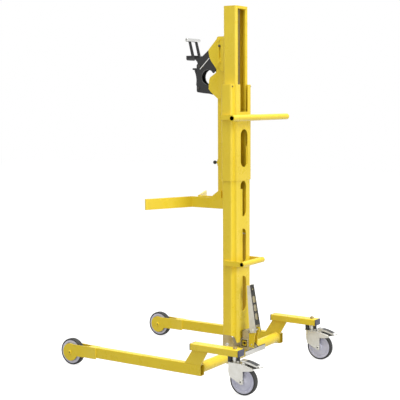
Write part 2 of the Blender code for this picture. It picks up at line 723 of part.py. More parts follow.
def caster_fork(x):
    """Return the pressed fork: crown plate, two side legs and a guard over the wheel."""
    axis = CASTER_AXIS_Y
    tip = (AXLE_Y, WHEEL_RADIUS)
    top = CASTER_TOP_Z
    outline = [(axis - 0.034, top - 0.002), (axis - 0.034, top - 0.007),
               (axis - 0.023, top - 0.020), (axis - 0.022, 0.108), (axis - 0.013, 0.078)]
    outline += arc(tip, 0.0135, 228, 320, 4)
    outline += [(AXLE_Y + 0.0085, 0.080), (AXLE_Y + 0.0085, 0.109),
                (axis + 0.080, 0.112), (axis + 0.101, 0.117), (axis + 0.107, 0.122),
                (axis + 0.098, 0.129), (axis + 0.070, 0.136), (axis + 0.042, top - 0.001),
                (axis + 0.030, top), (axis - 0.030, top)]
    half = CASTER_FORK_WIDTH / 2
    plan_y = axis - 0.009
    plan = [(half, axis + 0.13), (-half, axis + 0.13)]
    plan += arc((0, plan_y), half, 180, 360, 10)
    plan_mesh = outline_mesh(plan, 0.4)
    body = with_boolean(side_plate(outline, (-half, half)), plan_mesh, "INTERSECT")
    body = bevelled(body, 0.002, 1, 70)
    inside = [(axis - 0.06, 0.02), (axis + 0.13, 0.02), (axis + 0.13, 0.116),
              (axis + 0.098, 0.129 - CASTER_SHEET), (axis + 0.070, 0.136 - CASTER_SHEET),
              (axis + 0.030, top - CASTER_SHEET), (axis - 0.06, top - CASTER_SHEET)]
    hollow = side_plate(inside, (CASTER_SHEET - half, half - CASTER_SHEET))
    pedal_gap = block((-BRAKE_WIDTH / 2 - 0.0015, BRAKE_WIDTH / 2 + 0.0015),
                      (axis + 0.044, axis + 0.13), (0.10, 0.15))
    race = rod((0, axis, top - 0.001), (0, axis, RACE_TOP_Z), RACE_RADIUS)
    lock_y = axis + LOCK_FROM_AXIS
    lock = rod((0, lock_y, top - 0.001), (0, lock_y, ARM_BOTTOM_Z - 4 * RUN), LOCK_RADIUS)
    post_y = axis + POST_FROM_AXIS
    post = rod((0, post_y, top - 0.001), (0, post_y, ARM_BOTTOM_Z - 4 * RUN), POST_RADIUS)
    post_base = rod((0, post_y, top - 0.001), (0, post_y, top + POST_BASE),
                    POST_BASE_RADIUS)
    bore = rod((0, axis, 0.10), (0, axis, 0.17), STEM_RADIUS + RUN)
    ear_y = axis + BRAKE_PIN_FROM_AXIS
    ear = [(ear_y - 0.009, 0.132), (ear_y + 0.009, 0.132), (ear_y + 0.006, 0.146),
           (ear_y - 0.005, 0.146)]
    ears = [side_plate(ear, (low, low + 0.003)) for low in
            (BRAKE_WIDTH / 2 + 0.0015, -BRAKE_WIDTH / 2 - 0.0045)]
    pin_hole = rod((-0.04, ear_y, BRAKE_PIN_Z), (0.04, ear_y, BRAKE_PIN_Z),
                   BRAKE_PIN_RADIUS + RUN, 12)
    mesh = cut(body, hollow, pedal_gap)
    mesh = joined(mesh, race, lock, post, post_base, *ears)
    mesh = cut(mesh, bore, pin_hole)
    mesh.transform(Matrix.Translation((x, 0, 0)))
    return joined(mesh, axle(x, AXLE_Y, half - CASTER_SHEET + WELD, half - WELD))


def brake_pedal(x):
    """Return the brake lever with its pin, foot pad and thin lift-off tip."""
    axis = CASTER_AXIS_Y
    half = BRAKE_WIDTH / 2
    pad = [(axis + 0.036, 0.1545), (axis + 0.038, 0.1490), (axis + 0.112, 0.1335),
           (axis + 0.117, 0.1350), (axis + 0.116, 0.1395), (axis + 0.085, 0.1490),
           (axis + 0.060, 0.1535)]
    lug = [(axis + 0.045, 0.1495), (axis + 0.047, 0.1335), (axis + 0.058, 0.1335),
           (axis + 0.061, 0.1465)]
    tip = [(axis + 0.104, 0.1365), (axis + 0.108, 0.1255), (axis + 0.120, 0.1255),
           (axis + BRAKE_TIP_FROM_AXIS - 0.001, 0.1355),
           (axis + BRAKE_TIP_FROM_AXIS, 0.1375), (axis + BRAKE_TIP_FROM_AXIS - 0.004, 0.1375),
           (axis + 0.118, 0.1285), (axis + 0.112, 0.1290), (axis + 0.110, 0.1365)]
    body = joined(side_plate(pad, (-half, half)), side_plate(lug, (0.003 - half, half - 0.003)),
                  side_plate(tip, (-0.006, 0.006)))
    pin = rod((-half - 0.0075, BRAKE_PIN_Y, BRAKE_PIN_Z),
              (half + 0.0075, BRAKE_PIN_Y, BRAKE_PIN_Z), BRAKE_PIN_RADIUS, 12)
    mesh = joined(body, pin)
    mesh.transform(Matrix.Translation((x, 0, 0)))
    return mesh


for side, sign in (("left", 1), ("right", -1)):
    x = sign * ARM_CENTRE_X
    node(f"caster_stem_{side}", stem(x), "bright_steel", BASE)
    swivel = make_empty(f"caster_axis_{side}", (x, CASTER_AXIS_Y, ARM_BOTTOM_Z), BASE)
    hub = make_empty(f"caster_wheel_axis_{side}", (x, AXLE_Y, WHEEL_RADIUS), swivel)
    lever = make_empty(f"brake_axis_{side}", (x, BRAKE_PIN_Y, BRAKE_PIN_Z), swivel)
    node(f"caster_fork_{side}", caster_fork(x), "zinc_plate", swivel)
    add_wheel(side, "caster", x, AXLE_Y, hub)
    node(f"brake_pedal_{side}", brake_pedal(x), "black_enamel", lever)

# Cross tube, its sleeve and the foot brackets of the mast
tube_half = LEG_CENTRE_X - LEG_WIDTH / 2 - SEAT
cross_centre = (0.0, CROSS_TUBE_Y, CROSS_TUBE_Z)
node("cross_tube", ring(cross_centre, "X", CROSS_TUBE_RADIUS,
                        CROSS_TUBE_RADIUS - CROSS_TUBE_WALL, tube_half),
     "yellow_enamel", BASE)
node("tube_sleeve", ring(cross_centre, "X", SLEEVE_TUBE_RADIUS,
                         CROSS_TUBE_RADIUS + SEAT, SLEEVE_TUBE_HALF),
     "yellow_enamel", BASE)


def saddle():
    """Return the cutter that fits a piece onto the sleeve of the cross tube."""
    return rod((-0.2, CROSS_TUBE_Y, CROSS_TUBE_Z), (0.2, CROSS_TUBE_Y, CROSS_TUBE_Z),
               SLEEVE_TUBE_RADIUS + SEAT, ROUND)


bracket_top = MAST_SIDE_BOTTOM_Z - SEAT
bracket_outline = [(FOOT_BRACKET_FRONT_Y, FOOT_BRACKET_BOTTOM_Z),
                   (FOOT_BRACKET_FRONT_Y, bracket_top),
                   (MAST_FOOT_TAPER_Y - SEAT, bracket_top),
                   (-SHEET, MAST_FOOT_TAPER_Z + 0.008), (-SHEET, FOOT_BRACKET_BOTTOM_Z)]
bracket = side_plate(bracket_outline, (MAST_SIDE_HALF - SHEET, MAST_SIDE_HALF))
bolt_hole = rod((0.0, -0.040, 0.130), (0.2, -0.040, 0.130), 0.006)
bracket = cut(bracket, saddle(), bolt_hole)
node("foot_bracket_left", bracket, "zinc_plate", BASE)
node("foot_bracket_right", mirrored(bracket), "zinc_plate", BASE)


# Mast sections
def rounded(points, radii, count=3):
    """Return a path with its corners rounded; a radius of 0 keeps one sharp."""
    path = []
    for index, (point, radius) in enumerate(zip(points, radii)):
        if radius == 0:
            path.append(point)
            continue
        corner = Vector(point)
        before = (Vector(points[index - 1]) - corner).normalized()
        after = (Vector(points[(index + 1) % len(points)]) - corner).normalized()
        half = before.angle(after) / 2
        middle = corner + (before + after).normalized() * radius / math.sin(half)
        first = corner + before * radius / math.tan(half) - middle
        last = corner + after * radius / math.tan(half) - middle
        start = math.degrees(math.atan2(first.y, first.x))
        turn = math.degrees(math.atan2(last.y, last.x)) - start
        turn = (turn + 180) % 360 - 180
        path += arc(middle, radius, start, start + turn, count)
    return path


def hat_path(inset):
    """Return the outer path of a hat section, set in from the sleeve's faces."""
    side = SLEEVE_SIDE_HALF - inset
    rear = SLEEVE_REAR_HALF - inset
    front_y = SLEEVE_FRONT_Y + inset
    shoulder_y = SLEEVE_SHOULDER_Y - inset
    outer = SLEEVE_BEND - inset
    half = [(MAST_LIP_INNER_X, front_y), (side, front_y), (side, shoulder_y),
            (rear, shoulder_y), (rear, -inset)]
    radii = [0, outer, outer, SHOULDER_BEND + inset, outer]
    whole = half + [(-x, y) for x, y in reversed(half)]
    return rounded(whole, radii + radii[::-1])


def hat_section(inset, bottom, top):
    """Return a pressed hat section, a sheet folded inwards from its outer path."""
    return strip(hat_path(inset), bottom, top, SHEET, offset=-1.0)


def slot_cutter(width, z, y=(-0.03, 0.02)):
    """Return the cutter for an upright slot with round ends in the rear wall."""
    return rear_plate(obround((0.0, (z[0] + z[1]) / 2), width, z[1] - z[0]), y)


sleeve = hat_section(0.0, SLEEVE_BOTTOM_Z, SLEEVE_TOP_Z)
notch = block((-SLOT_HALF, SLOT_HALF), (-0.03, 0.02), (SLEEVE_NOTCH_Z, SLEEVE_TOP_Z + 0.05))
sleeve = cut(sleeve, notch, slot_cutter(SLEEVE_SLOT_WIDTH, SLEEVE_SLOT_Z))
node("mast_sleeve", sleeve, "yellow_enamel", BASE)

lower = hat_section(MAST_FIT, LOWER_MAST_BOTTOM_Z, LOWER_MAST_TOP_Z)
foot_outline = [(-0.2, MAST_SIDE_BOTTOM_Z), (MAST_FOOT_TAPER_Y, MAST_SIDE_BOTTOM_Z),
                (0.0, MAST_FOOT_TAPER_Z), (0.0, 0.05), (-0.2, 0.05)]
lower = cut(lower, side_plate(foot_outline, (-0.2, 0.2)))
foot_cut = block((-MAST_FOOT_CUT_HALF, MAST_FOOT_CUT_HALF), (-0.03, 0.02),
                 (0.05, MAST_FOOT_CUT_Z))
slots = []
for index in range(MAST_SLOT_COUNT):
    slot_top = MAST_TOP_SLOT_Z - index * MAST_SLOT_PITCH
    slots.append(slot_cutter(MAST_SLOT_WIDTH, (slot_top - MAST_SLOT_LENGTH, slot_top)))
lower = cut(lower, foot_cut, *slots)
node("lower_mast", lower, "yellow_enamel", BASE)

inner_bend = INNER_SHEET + 0.004
lip_bend = INNER_SHEET + BEND_INSIDE
inner_path = [(SLOT_HALF, INNER_REAR_Y - INNER_LIP), (SLOT_HALF, INNER_REAR_Y),
              (INNER_HALF, INNER_REAR_Y), (INNER_HALF, INNER_FRONT_Y)]
inner_radii = [0, lip_bend, inner_bend, inner_bend]
inner_path += [(-x, y) for x, y in reversed(inner_path)]
inner = strip(rounded(inner_path, inner_radii + inner_radii[::-1]), INNER_BOTTOM_Z,
              INNER_TOP_Z + WELD, INNER_SHEET, offset=1.0)
cap_corners = [(-INNER_HALF, INNER_FRONT_Y), (INNER_HALF, INNER_FRONT_Y),
               (INNER_HALF, INNER_REAR_Y), (-INNER_HALF, INNER_REAR_Y)]
cap = outline_mesh(rounded(cap_corners, [inner_bend] * 4), MAST_CAP_HEIGHT)
cap.transform(Matrix.Translation((0, 0, INNER_TOP_Z + MAST_CAP_HEIGHT / 2)))
node("inner_mast", joined(inner, cap), "yellow_enamel", LIFT)


def slide_block(outer_x, rear_y, front_y, z, inside_bend):
    """Return a nylon block that fills the channel beside the inner mast."""
    inner_x = INNER_HALF + RUN
    corners = [(inner_x, front_y + RUN), (outer_x - RUN, front_y + RUN),
               (outer_x - RUN, rear_y - RUN), (inner_x, rear_y - RUN)]
    radius = max(BLOCK_EDGE, inside_bend)
    made = outline_mesh(rounded(corners, [0, radius, radius, 0]), z[1] - z[0])
    made.transform(Matrix.Translation((0, 0, sum(z) / 2)))
    return bevelled(made, BLOCK_EDGE)


lower_block = slide_block(MAST_SIDE_HALF - SHEET, SLEEVE_SHOULDER_Y - MAST_FIT - SHEET,
                          SLEEVE_FRONT_Y + MAST_FIT + SHEET, BLOCK_LOWER_Z,
                          SLEEVE_BEND - MAST_FIT - SHEET)
node("lower_slide_block_left", lower_block, "cream_nylon", LIFT)
node("lower_slide_block_right", mirrored(lower_block), "cream_nylon", LIFT)
upper_block = slide_block(SLEEVE_SIDE_HALF - SHEET, SLEEVE_SHOULDER_Y - SHEET,
                          SLEEVE_FRONT_Y + SHEET,
                          (SLEEVE_TOP_Z - BLOCK_UPPER_LENGTH, SLEEVE_TOP_Z),
                          SLEEVE_BEND - SHEET)
node("upper_slide_block_left", upper_block, "cream_nylon", BASE)
node("upper_slide_block_right", mirrored(upper_block), "cream_nylon", BASE)

# Ram
barrel_profile = [(0.0, BARREL_BOTTOM_Z + 0.006), (BARREL_BORE, BARREL_BOTTOM_Z + 0.006),
                  (BARREL_BORE, BARREL_TOP_Z - GLAND_LENGTH),
                  (ROD_RADIUS + RUN, BARREL_TOP_Z - GLAND_LENGTH),
                  (ROD_RADIUS + RUN, BARREL_TOP_Z), (BARREL_RADIUS, BARREL_TOP_Z),
                  (BARREL_RADIUS, BARREL_BOTTOM_Z), (0.0, BARREL_BOTTOM_Z)]
node("ram_barrel", turned(barrel_profile, (0.0, RAM_Y, 0.0), "Z", 24, ring=False),
     "zinc_plate", BASE)
rod_profile = [(0.0, INNER_TOP_Z - SEAT), (ROD_RADIUS, INNER_TOP_Z - SEAT),
               (ROD_RADIUS, PISTON_Z[1]), (BARREL_BORE - RUN, PISTON_Z[1]),
               (BARREL_BORE - RUN, PISTON_Z[0]), (0.0, PISTON_Z[0])]
node("ram_rod", turned(rod_profile, (0.0, RAM_Y, 0.0), "Z", 24, ring=False),
     "bright_steel", LIFT)


# Handles
def handle(radius, bore, half, y, z, arm_x, front_y):
    """Return a handle: a tube across the rear on two flat arms."""
    mesh = rod((-half, y, z), (half, y, z), radius, 24)
    arm_z = (z - HANDLE_ARM_HEIGHT / 2, z + HANDLE_ARM_HEIGHT / 2)
    arm = block((arm_x + SEAT, arm_x + SEAT + HANDLE_ARM), (front_y, y), arm_z)
    mesh = joined(mesh, arm, mirrored(arm))
    return cut(mesh, rod((-half - 0.01, y, z), (half + 0.01, y, z), bore, 24))


node("push_handle", handle(PUSH_HANDLE_RADIUS, PUSH_HANDLE_BORE, PUSH_HANDLE_HALF,
                           PUSH_HANDLE_Y, PUSH_HANDLE_Z, SLEEVE_SIDE_HALF,
                           PUSH_ARM_FRONT_Y), "yellow_enamel", BASE)
node("lower_handle", handle(LOWER_HANDLE_RADIUS, LOWER_HANDLE_BORE, LOWER_HANDLE_HALF,
                            LOWER_HANDLE_Y, LOWER_HANDLE_Z, MAST_SIDE_HALF,
                            LOWER_ARM_FRONT_Y), "yellow_enamel", BASE)

# Foot pump: body, valve block, ears, pin, pedal and release pedal
pump_base = block((-PUMP_HALF, PUMP_HALF), (RAM_Y - BARREL_RADIUS, 0.010),
                  (PUMP_FOOT_Z, BARREL_BOTTOM_Z - SEAT))
crown_radius = (PUMP_REAR_Y - PUMP_FRONT_Y) / 2
crown_middle = (PUMP_FRONT_Y + crown_radius, PUMP_TOP_Z - crown_radius)
pump_outline = [(PUMP_FRONT_Y, PUMP_FOOT_Z), (PUMP_REAR_Y, PUMP_FOOT_Z)]
pump_outline += arc(crown_middle, crown_radius, 0, 180, 10)
pump_rear = bevelled(side_plate(pump_outline, (-PUMP_HALF, PUMP_HALF)), 0.002)
pump = cut(joined(pump_base, pump_rear), saddle())
valve = block((PUMP_HALF - WELD, PUMP_HALF + VALVE_DEPTH),
              (PUMP_REAR_Y - VALVE_WIDTH, PUMP_REAR_Y - WELD), VALVE_Z)
valve_face = block((PUMP_HALF + VALVE_DEPTH - 0.003, PUMP_HALF + VALVE_DEPTH + 0.001),
                   (PUMP_REAR_Y - VALVE_WIDTH + 0.006, PUMP_REAR_Y - 0.006),
                   (VALVE_Z[0] + 0.006, VALVE_Z[1] - 0.006))
valve = cut(bevelled(valve, 0.0015), valve_face)
valve_y = PUMP_REAR_Y - VALVE_WIDTH / 2
valve_z = sum(VALVE_Z) / 2
valve_stem = rod((PUMP_HALF + 0.004, valve_y, valve_z),
                 (PUMP_HALF + VALVE_DEPTH, valve_y, valve_z), 0.007, 12)
node("pump_body", joined(pump, valve, valve_stem), "cast_zinc", BASE)

ear_outline = [(PUMP_REAR_Y + SEAT, 0.116), (RELEASE_PIVOT_Y + 0.002, 0.114),
               (RELEASE_PIVOT_Y + 0.011, 0.124), (PEDAL_PIVOT_Y + 0.001, 0.170),
               (PEDAL_PIVOT_Y + 0.0085, PEDAL_PIVOT_Z - 0.010)]
ear_outline += arc((PEDAL_PIVOT_Y, PEDAL_PIVOT_Z), 0.0105, -20, 110, 6)
ear_outline += [(PUMP_REAR_Y + SEAT, 0.178)]
ear_inner = PEDAL_HALF_BOTTOM - PEDAL_SHEET - 0.0012 - EAR_THICKNESS
ear = side_plate(ear_outline, (ear_inner, ear_inner + EAR_THICKNESS))
tie = block((-ear_inner - 0.001, ear_inner + 0.001), (PUMP_REAR_Y + SEAT, PUMP_REAR_Y + 0.005),
            (0.140, 0.172))
pin_half = PEDAL_HALF_BOTTOM + 0.004
pin = rod((-pin_half, PEDAL_PIVOT_Y, PEDAL_PIVOT_Z), (pin_half, PEDAL_PIVOT_Y, PEDAL_PIVOT_Z),
          PEDAL_PIN_RADIUS)
pin_heads = [rod((way * (PEDAL_HALF_BOTTOM + 0.0008), PEDAL_PIVOT_Y, PEDAL_PIVOT_Z),
                 (way * (pin_half + 0.001), PEDAL_PIVOT_Y, PEDAL_PIVOT_Z), 0.007)
             for way in (1, -1)]
release_hole = rod((-0.05, RELEASE_PIVOT_Y, RELEASE_PIVOT_Z),
                   (0.05, RELEASE_PIVOT_Y, RELEASE_PIVOT_Z), RELEASE_PIN_RADIUS + RUN, 12)
bracket = cut(joined(ear, tie, mirrored(ear)), release_hole)
node("pedal_bracket", joined(bracket, pin, *pin_heads), "yellow_enamel", BASE)


def pedal_mesh():
    """Return the tapered channel of the pump pedal, upright, pivot at the origin."""
    work = bmesh.new()
    rows = []
    for height in (-PEDAL_TAIL, PEDAL_WEB_START, PEDAL_LENGTH):
        share = max(height, 0.0) / PEDAL_LENGTH
        half = PEDAL_HALF_BOTTOM + (PEDAL_HALF_TOP - PEDAL_HALF_BOTTOM) * share
        depth = PEDAL_DEPTH_BOTTOM + (PEDAL_DEPTH_TOP - PEDAL_DEPTH_BOTTOM) * share
        web = PEDAL_WEB_OFFSET
        rows.append([work.verts.new((x, y, height)) for x, y in
                     ((-half, web - depth), (-half, web), (half, web), (half, web - depth))])
    for below, above in zip(rows, rows[1:]):
        for index in range(3):
            work.faces.new((below[index], below[index + 1], above[index + 1], above[index]))
    mesh = bpy.data.meshes.new("pedal")
    bmesh.ops.recalc_face_normals(work, faces=work.faces)
    work.to_mesh(mesh)
    work.free()
    piece = loose(mesh)
    solid = piece.modifiers.new("sheet", "SOLIDIFY")
    solid.thickness = PEDAL_SHEET
    solid.offset = -1.0
    solid.use_even_offset = True
    return weld(baked(piece))


pedal = pedal_mesh()
holes = [rear_plate(obround((0.0, at), *PEDAL_HOLE_SIZE, 6), (-0.004, 0.03))
         for at in PEDAL_HOLES_AT]
holes.append(rod((0.0, -0.004, PEDAL_SMALL_HOLE_AT), (0.0, 0.03, PEDAL_SMALL_HOLE_AT),
                 PEDAL_SMALL_HOLE, 12))
holes.append(rod((-0.05, 0, 0), (0.05, 0, 0), PEDAL_PIN_RADIUS + RUN))
tail_gap = block((PEDAL_SHEET - PEDAL_HALF_BOTTOM, PEDAL_HALF_BOTTOM - PEDAL_SHEET),
                 (0.0, 0.03), (-0.03, PEDAL_WEB_START))
pedal = cut(pedal, *holes, tail_gap)
pedal.transform(Matrix.Translation((0, PEDAL_PIVOT_Y, PEDAL_PIVOT_Z))
                @ Matrix.Rotation(PEDAL_TILT, 4, "X"))
node("pump_pedal", pedal, "zinc_plate", PEDAL)

release_bar = bevelled(block(RELEASE_BAR_X, RELEASE_BAR_Y, RELEASE_BAR_Z), 0.0015)
release_arm = side_plate([(RELEASE_PIVOT_Y - 0.007, RELEASE_PIVOT_Z + 0.004),
                          (RELEASE_PIVOT_Y - 0.007, RELEASE_PIVOT_Z - 0.007),
                          (RELEASE_BAR_Y[0] + 0.002, RELEASE_BAR_Z[0] + 0.003),
                          (RELEASE_BAR_Y[0] + 0.002, RELEASE_BAR_Z[1] - 0.003),
                          (RELEASE_PIVOT_Y + 0.002, RELEASE_PIVOT_Z + 0.008)],
                         (-0.005, 0.005))
release_pin = rod((-ear_inner - EAR_THICKNESS, RELEASE_PIVOT_Y, RELEASE_PIVOT_Z),
                  (ear_inner + EAR_THICKNESS, RELEASE_PIVOT_Y, RELEASE_PIVOT_Z),
                  RELEASE_PIN_RADIUS, 12)
node("release_pedal", joined(release_bar, release_arm, release_pin), "zinc_plate", RELEASE)

# Carriage bar, cradle and bumper
bar_half = BAR_WIDTH / 2
bar = rect_tube((-bar_half, bar_half), (BAR_FRONT_Y, BAR_REAR_Y), (BAR_BOTTOM_Z, BAR_TOP_Z),
                BAR_WALL, "Z")
bolt_holes = [rod((-0.06, y, z), (0.06, y, z), HEAD_BOLT_RADIUS + SEAT, 12)
              for y, z in HEAD_BOLTS]
node("carriage_bar", cut(bar, *bolt_holes), "yellow_enamel", LIFT)

cradle_top = CRADLE_BOTTOM_Z + CRADLE_HEIGHT
arm_path_x = BRACKET_INNER_X
wing = strip([(arm_path_x, CRADLE_ARM_REAR_Y), (arm_path_x, CRADLE_ARM_FRONT_Y),
              (arm_path_x + CRADLE_WING_OUT, CRADLE_ARM_FRONT_Y - CRADLE_WING_FORWARD)],
             CRADLE_BOTTOM_Z, cradle_top, CRADLE_STRIP, offset=-1.0)
gusset = side_plate([(-0.170, cradle_top - 0.010), (-0.150, cradle_top + 0.012),
                     (-0.119, cradle_top + 0.034), (-0.105, cradle_top + 0.034),
                     (-0.105, cradle_top - 0.010)],
                    (arm_path_x, arm_path_x + CRADLE_STRIP))
tie_y = (BAR_FRONT_Y - SEAT - CRADLE_STRIP, BAR_FRONT_Y - SEAT)
web = block((-arm_path_x - 0.002, arm_path_x + 0.002), tie_y, (CRADLE_BOTTOM_Z, cradle_top))
node("cradle", joined(wing, gusset, web, mirrored(gusset), mirrored(wing)),
     "yellow_enamel", LIFT)

mid_z = sum(BUMPER_Z) / 2
foot = side_plate([(BAR_FRONT_Y - SEAT, BUMPER_Z[0]), (BAR_FRONT_Y - SEAT, BUMPER_Z[1]),
                   (BAR_FRONT_Y - 0.008, BUMPER_Z[1] - 0.013),
                   (BAR_FRONT_Y - 0.008, BUMPER_Z[0] + 0.013)], (-0.015, 0.015))
stud = rod((0, BAR_FRONT_Y - 0.007, mid_z), (0, BAR_FRONT_Y - 0.017, mid_z), 0.006)
node("bumper", joined(foot, stud), "yellow_enamel", LIFT)

# Clamp head: yellow brackets, slotted plates, black cheeks
bracket_outline = [
    (-0.119, 1.551), (-0.174, 1.492), (-0.174, 1.482), (-0.169, 1.460), (-0.1595, 1.440),
    (-0.135, 1.409), (-0.129, 1.400), (-0.133, 1.387), (-0.150, 1.375), (-0.1655, 1.366),
    (-0.171, 1.351), (-0.174, 1.314), (-0.167, 1.303), (-0.148, 1.286), (-0.124, 1.267),
    (-0.084, 1.267), (-0.084, 1.549)]
head_plate = cut(side_plate(bracket_outline, (BRACKET_INNER_X, BRACKET_OUTER_X)), *[
    rod((0, y, z), (0.06, y, z), HEAD_BOLT_RADIUS + SEAT, 12) for y, z in HEAD_BOLTS])
node("head_bracket_left", head_plate, "yellow_enamel", LIFT)
node("head_bracket_right", mirrored(head_plate), "yellow_enamel", LIFT)

adjuster_x = (BRACKET_OUTER_X + SEAT, BRACKET_OUTER_X + SEAT + ADJUSTER_PLATE)
adjuster_outline = [(ADJUSTER_Y[0] + 0.006, ADJUSTER_Z[1]), (ADJUSTER_Y[0], ADJUSTER_Z[1] - 0.006),
                    (ADJUSTER_Y[0], 1.424), (-0.102, 1.396), (-0.096, ADJUSTER_Z[0]),
                    (ADJUSTER_Y[1], ADJUSTER_Z[0]), (ADJUSTER_Y[1], ADJUSTER_Z[1])]
adjuster = side_plate(adjuster_outline, adjuster_x)
slot_middle = (-0.107, sum(ADJUSTER_SLOT_Z) / 2)
slot = side_plate(obround(slot_middle, 0.010, ADJUSTER_SLOT_Z[1] - ADJUSTER_SLOT_Z[0], 6),
                  (adjuster_x[0] - 0.01, adjuster_x[1] + 0.01))
adjuster = cut(adjuster, slot, *[rod((0, y, z), (0.06, y, z), HEAD_BOLT_RADIUS + SEAT, 12)
                                 for y, z in HEAD_BOLTS])
node("adjuster_plate_left", adjuster, "yellow_enamel", LIFT)
node("adjuster_plate_right", mirrored(adjuster), "yellow_enamel", LIFT)

for name, (y, z) in zip(("upper", "lower"), HEAD_BOLTS):
    head_x = adjuster_x[1] + SEAT
    shank = rod((-head_x - 0.002, y, z), (head_x + 0.002, y, z), HEAD_BOLT_RADIUS, 12)
    heads = [rod((way * head_x, y, z), (way * (head_x + HEAD_BOLT_HEAD), y, z),
                 HEAD_BOLT_HEAD_RADIUS, 6) for way in (1, -1)]
    node(f"head_bolt_{name}", joined(shank, *heads), "yellow_enamel", LIFT)

throat = (THROAT_Y, THROAT_Z)
cheek_outline = [(-0.150, 1.516), (-0.183, 1.490), (-0.218, 1.462), (-0.248, 1.423)]
cheek_outline += arc((-0.240, 1.305), 0.008, 180, 260, 3)
cheek_outline += [(-0.205, 1.292), (-0.179, 1.290), (-0.145, 1.283), (-0.140, 1.345),
                  (-0.1525, 1.3465)]
cheek_outline += arc(throat, THROAT_RADIUS, -25, -329, 16)
cheek_outline += [(-0.152, 1.387), (-0.139, 1.405), (-0.134, 1.480)]
cheek = side_plate(cheek_outline, (CHEEK_INNER_X, CHEEK_OUTER_X))
jaw_holes = [rod((0, y, z), (0.06, y, z), JAW_PIN_RADIUS + SEAT)
             for y, z in ((UPPER_PIN_Y, UPPER_PIN_Z), (LOWER_PIN_Y, LOWER_PIN_Z))]
bosses = [rod((CHEEK_OUTER_X - 0.001, y, z), (BRACKET_INNER_X - SEAT, y, z), 0.007, 14)
          for y, z in SPACERS]
cheek = joined(cut(cheek, *jaw_holes), *bosses)
node("clamp_cheek_left", cheek, "black_enamel", LIFT)
node("clamp_cheek_right", mirrored(cheek), "black_enamel", LIFT)

for name, y, z in (("upper", UPPER_PIN_Y, UPPER_PIN_Z), ("lower", LOWER_PIN_Y, LOWER_PIN_Z)):
    outer = CHEEK_OUTER_X + SEAT
    shank = rod((-outer - 0.002, y, z), (outer + 0.002, y, z), JAW_PIN_RADIUS)
    ends = [rod((way * outer, y, z), (way * (outer + JAW_PIN_HEAD_LENGTH), y, z),
                JAW_PIN_HEAD)
            for way in (1, -1)]
    node(f"{name}_jaw_pin", joined(shank, *ends), "zinc_plate", LIFT)
link_x = CHEEK_OUTER_X + SEAT + LINK_RADIUS
node("link_rod", rod((link_x, -0.2265, 1.4045), (link_x, -0.174, 1.455), LINK_RADIUS, 10),
     "bright_steel", LIFT)

# Jaws
jaw_lug_half = CHEEK_INNER_X - 0.0008
plate_half = STRAP_X + STRAP_PLATE
jaw_plate = block((-plate_half, plate_half), (-0.296, -0.250), (1.461, 1.468))
hook = side_plate([(-0.298, 1.468), (-0.298, 1.452), (-0.293, 1.446), (-0.289, 1.452),
                   (-0.289, 1.468)], (-plate_half, plate_half))
lug = [(-0.270, 1.466), (-0.262, 1.452), (-0.250, 1.440), (-0.243, 1.423)]
lug += arc((UPPER_PIN_Y, UPPER_PIN_Z), 0.0105, 170, 370, 8)
lug += [(-0.219, 1.440), (-0.226, 1.462), (-0.240, 1.467)]
lug_plate = side_plate(lug, (-jaw_lug_half, jaw_lug_half))
strap = side_plate([(-0.269, 1.462), (-0.256, 1.462), (-0.256, 1.468),
                    (GRIP_Y + 0.0065, GRIP_Z - 0.004), (GRIP_Y - 0.0065, GRIP_Z - 0.004),
                    (-0.272, 1.472)],
                   (STRAP_X - STRAP_PLATE / 2, STRAP_X + STRAP_PLATE / 2))
jaw = joined(jaw_plate, hook, lug_plate, strap, mirrored(strap))
jaw_bore = rod((-0.05, UPPER_PIN_Y, UPPER_PIN_Z), (0.05, UPPER_PIN_Y, UPPER_PIN_Z),
               JAW_PIN_RADIUS + RUN)
grip_bore = rod((-0.05, GRIP_Y, GRIP_Z), (0.05, GRIP_Y, GRIP_Z), GRIP_RADIUS + SEAT)
node("upper_jaw", cut(jaw, jaw_bore, grip_bore), "black_enamel", UPPER_JAW)
node("jaw_grip", rod((-GRIP_HALF, GRIP_Y, GRIP_Z), (GRIP_HALF, GRIP_Y, GRIP_Z), GRIP_RADIUS),
     "zinc_plate", UPPER_JAW)

lower_arm = [(-0.275, 1.410), (-0.275, 1.402), (-0.264, 1.401)]
lower_arm += arc((-0.354, 1.352), 0.1005, 26, -11, 6)
lower_arm += arc((LOWER_PIN_Y, LOWER_PIN_Z), 0.010, 200, 360, 8)
lower_arm += arc((-0.354, 1.352), 0.1085, -13, 29, 6)
lower_arm += [(-0.2605, 1.410)]
lower_jaw = side_plate(lower_arm, (-jaw_lug_half, jaw_lug_half))
lower_bore = rod((-0.05, LOWER_PIN_Y, LOWER_PIN_Z), (0.05, LOWER_PIN_Y, LOWER_PIN_Z),
                 JAW_PIN_RADIUS + RUN)
node("lower_jaw", cut(lower_jaw, lower_bore), "black_enamel", LOWER_JAW)
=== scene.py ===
"""Drum lifter: straddle base on casters, telescoping mast and a rim clamp head.

The finish of every piece, set round the measured model. Units are metres, +Z is up,
-Y is the drum side, +Y is the operator's side and X = 0 is the middle of the mast.
"""

import json
import math

import bpy
from mathutils import Matrix, Vector

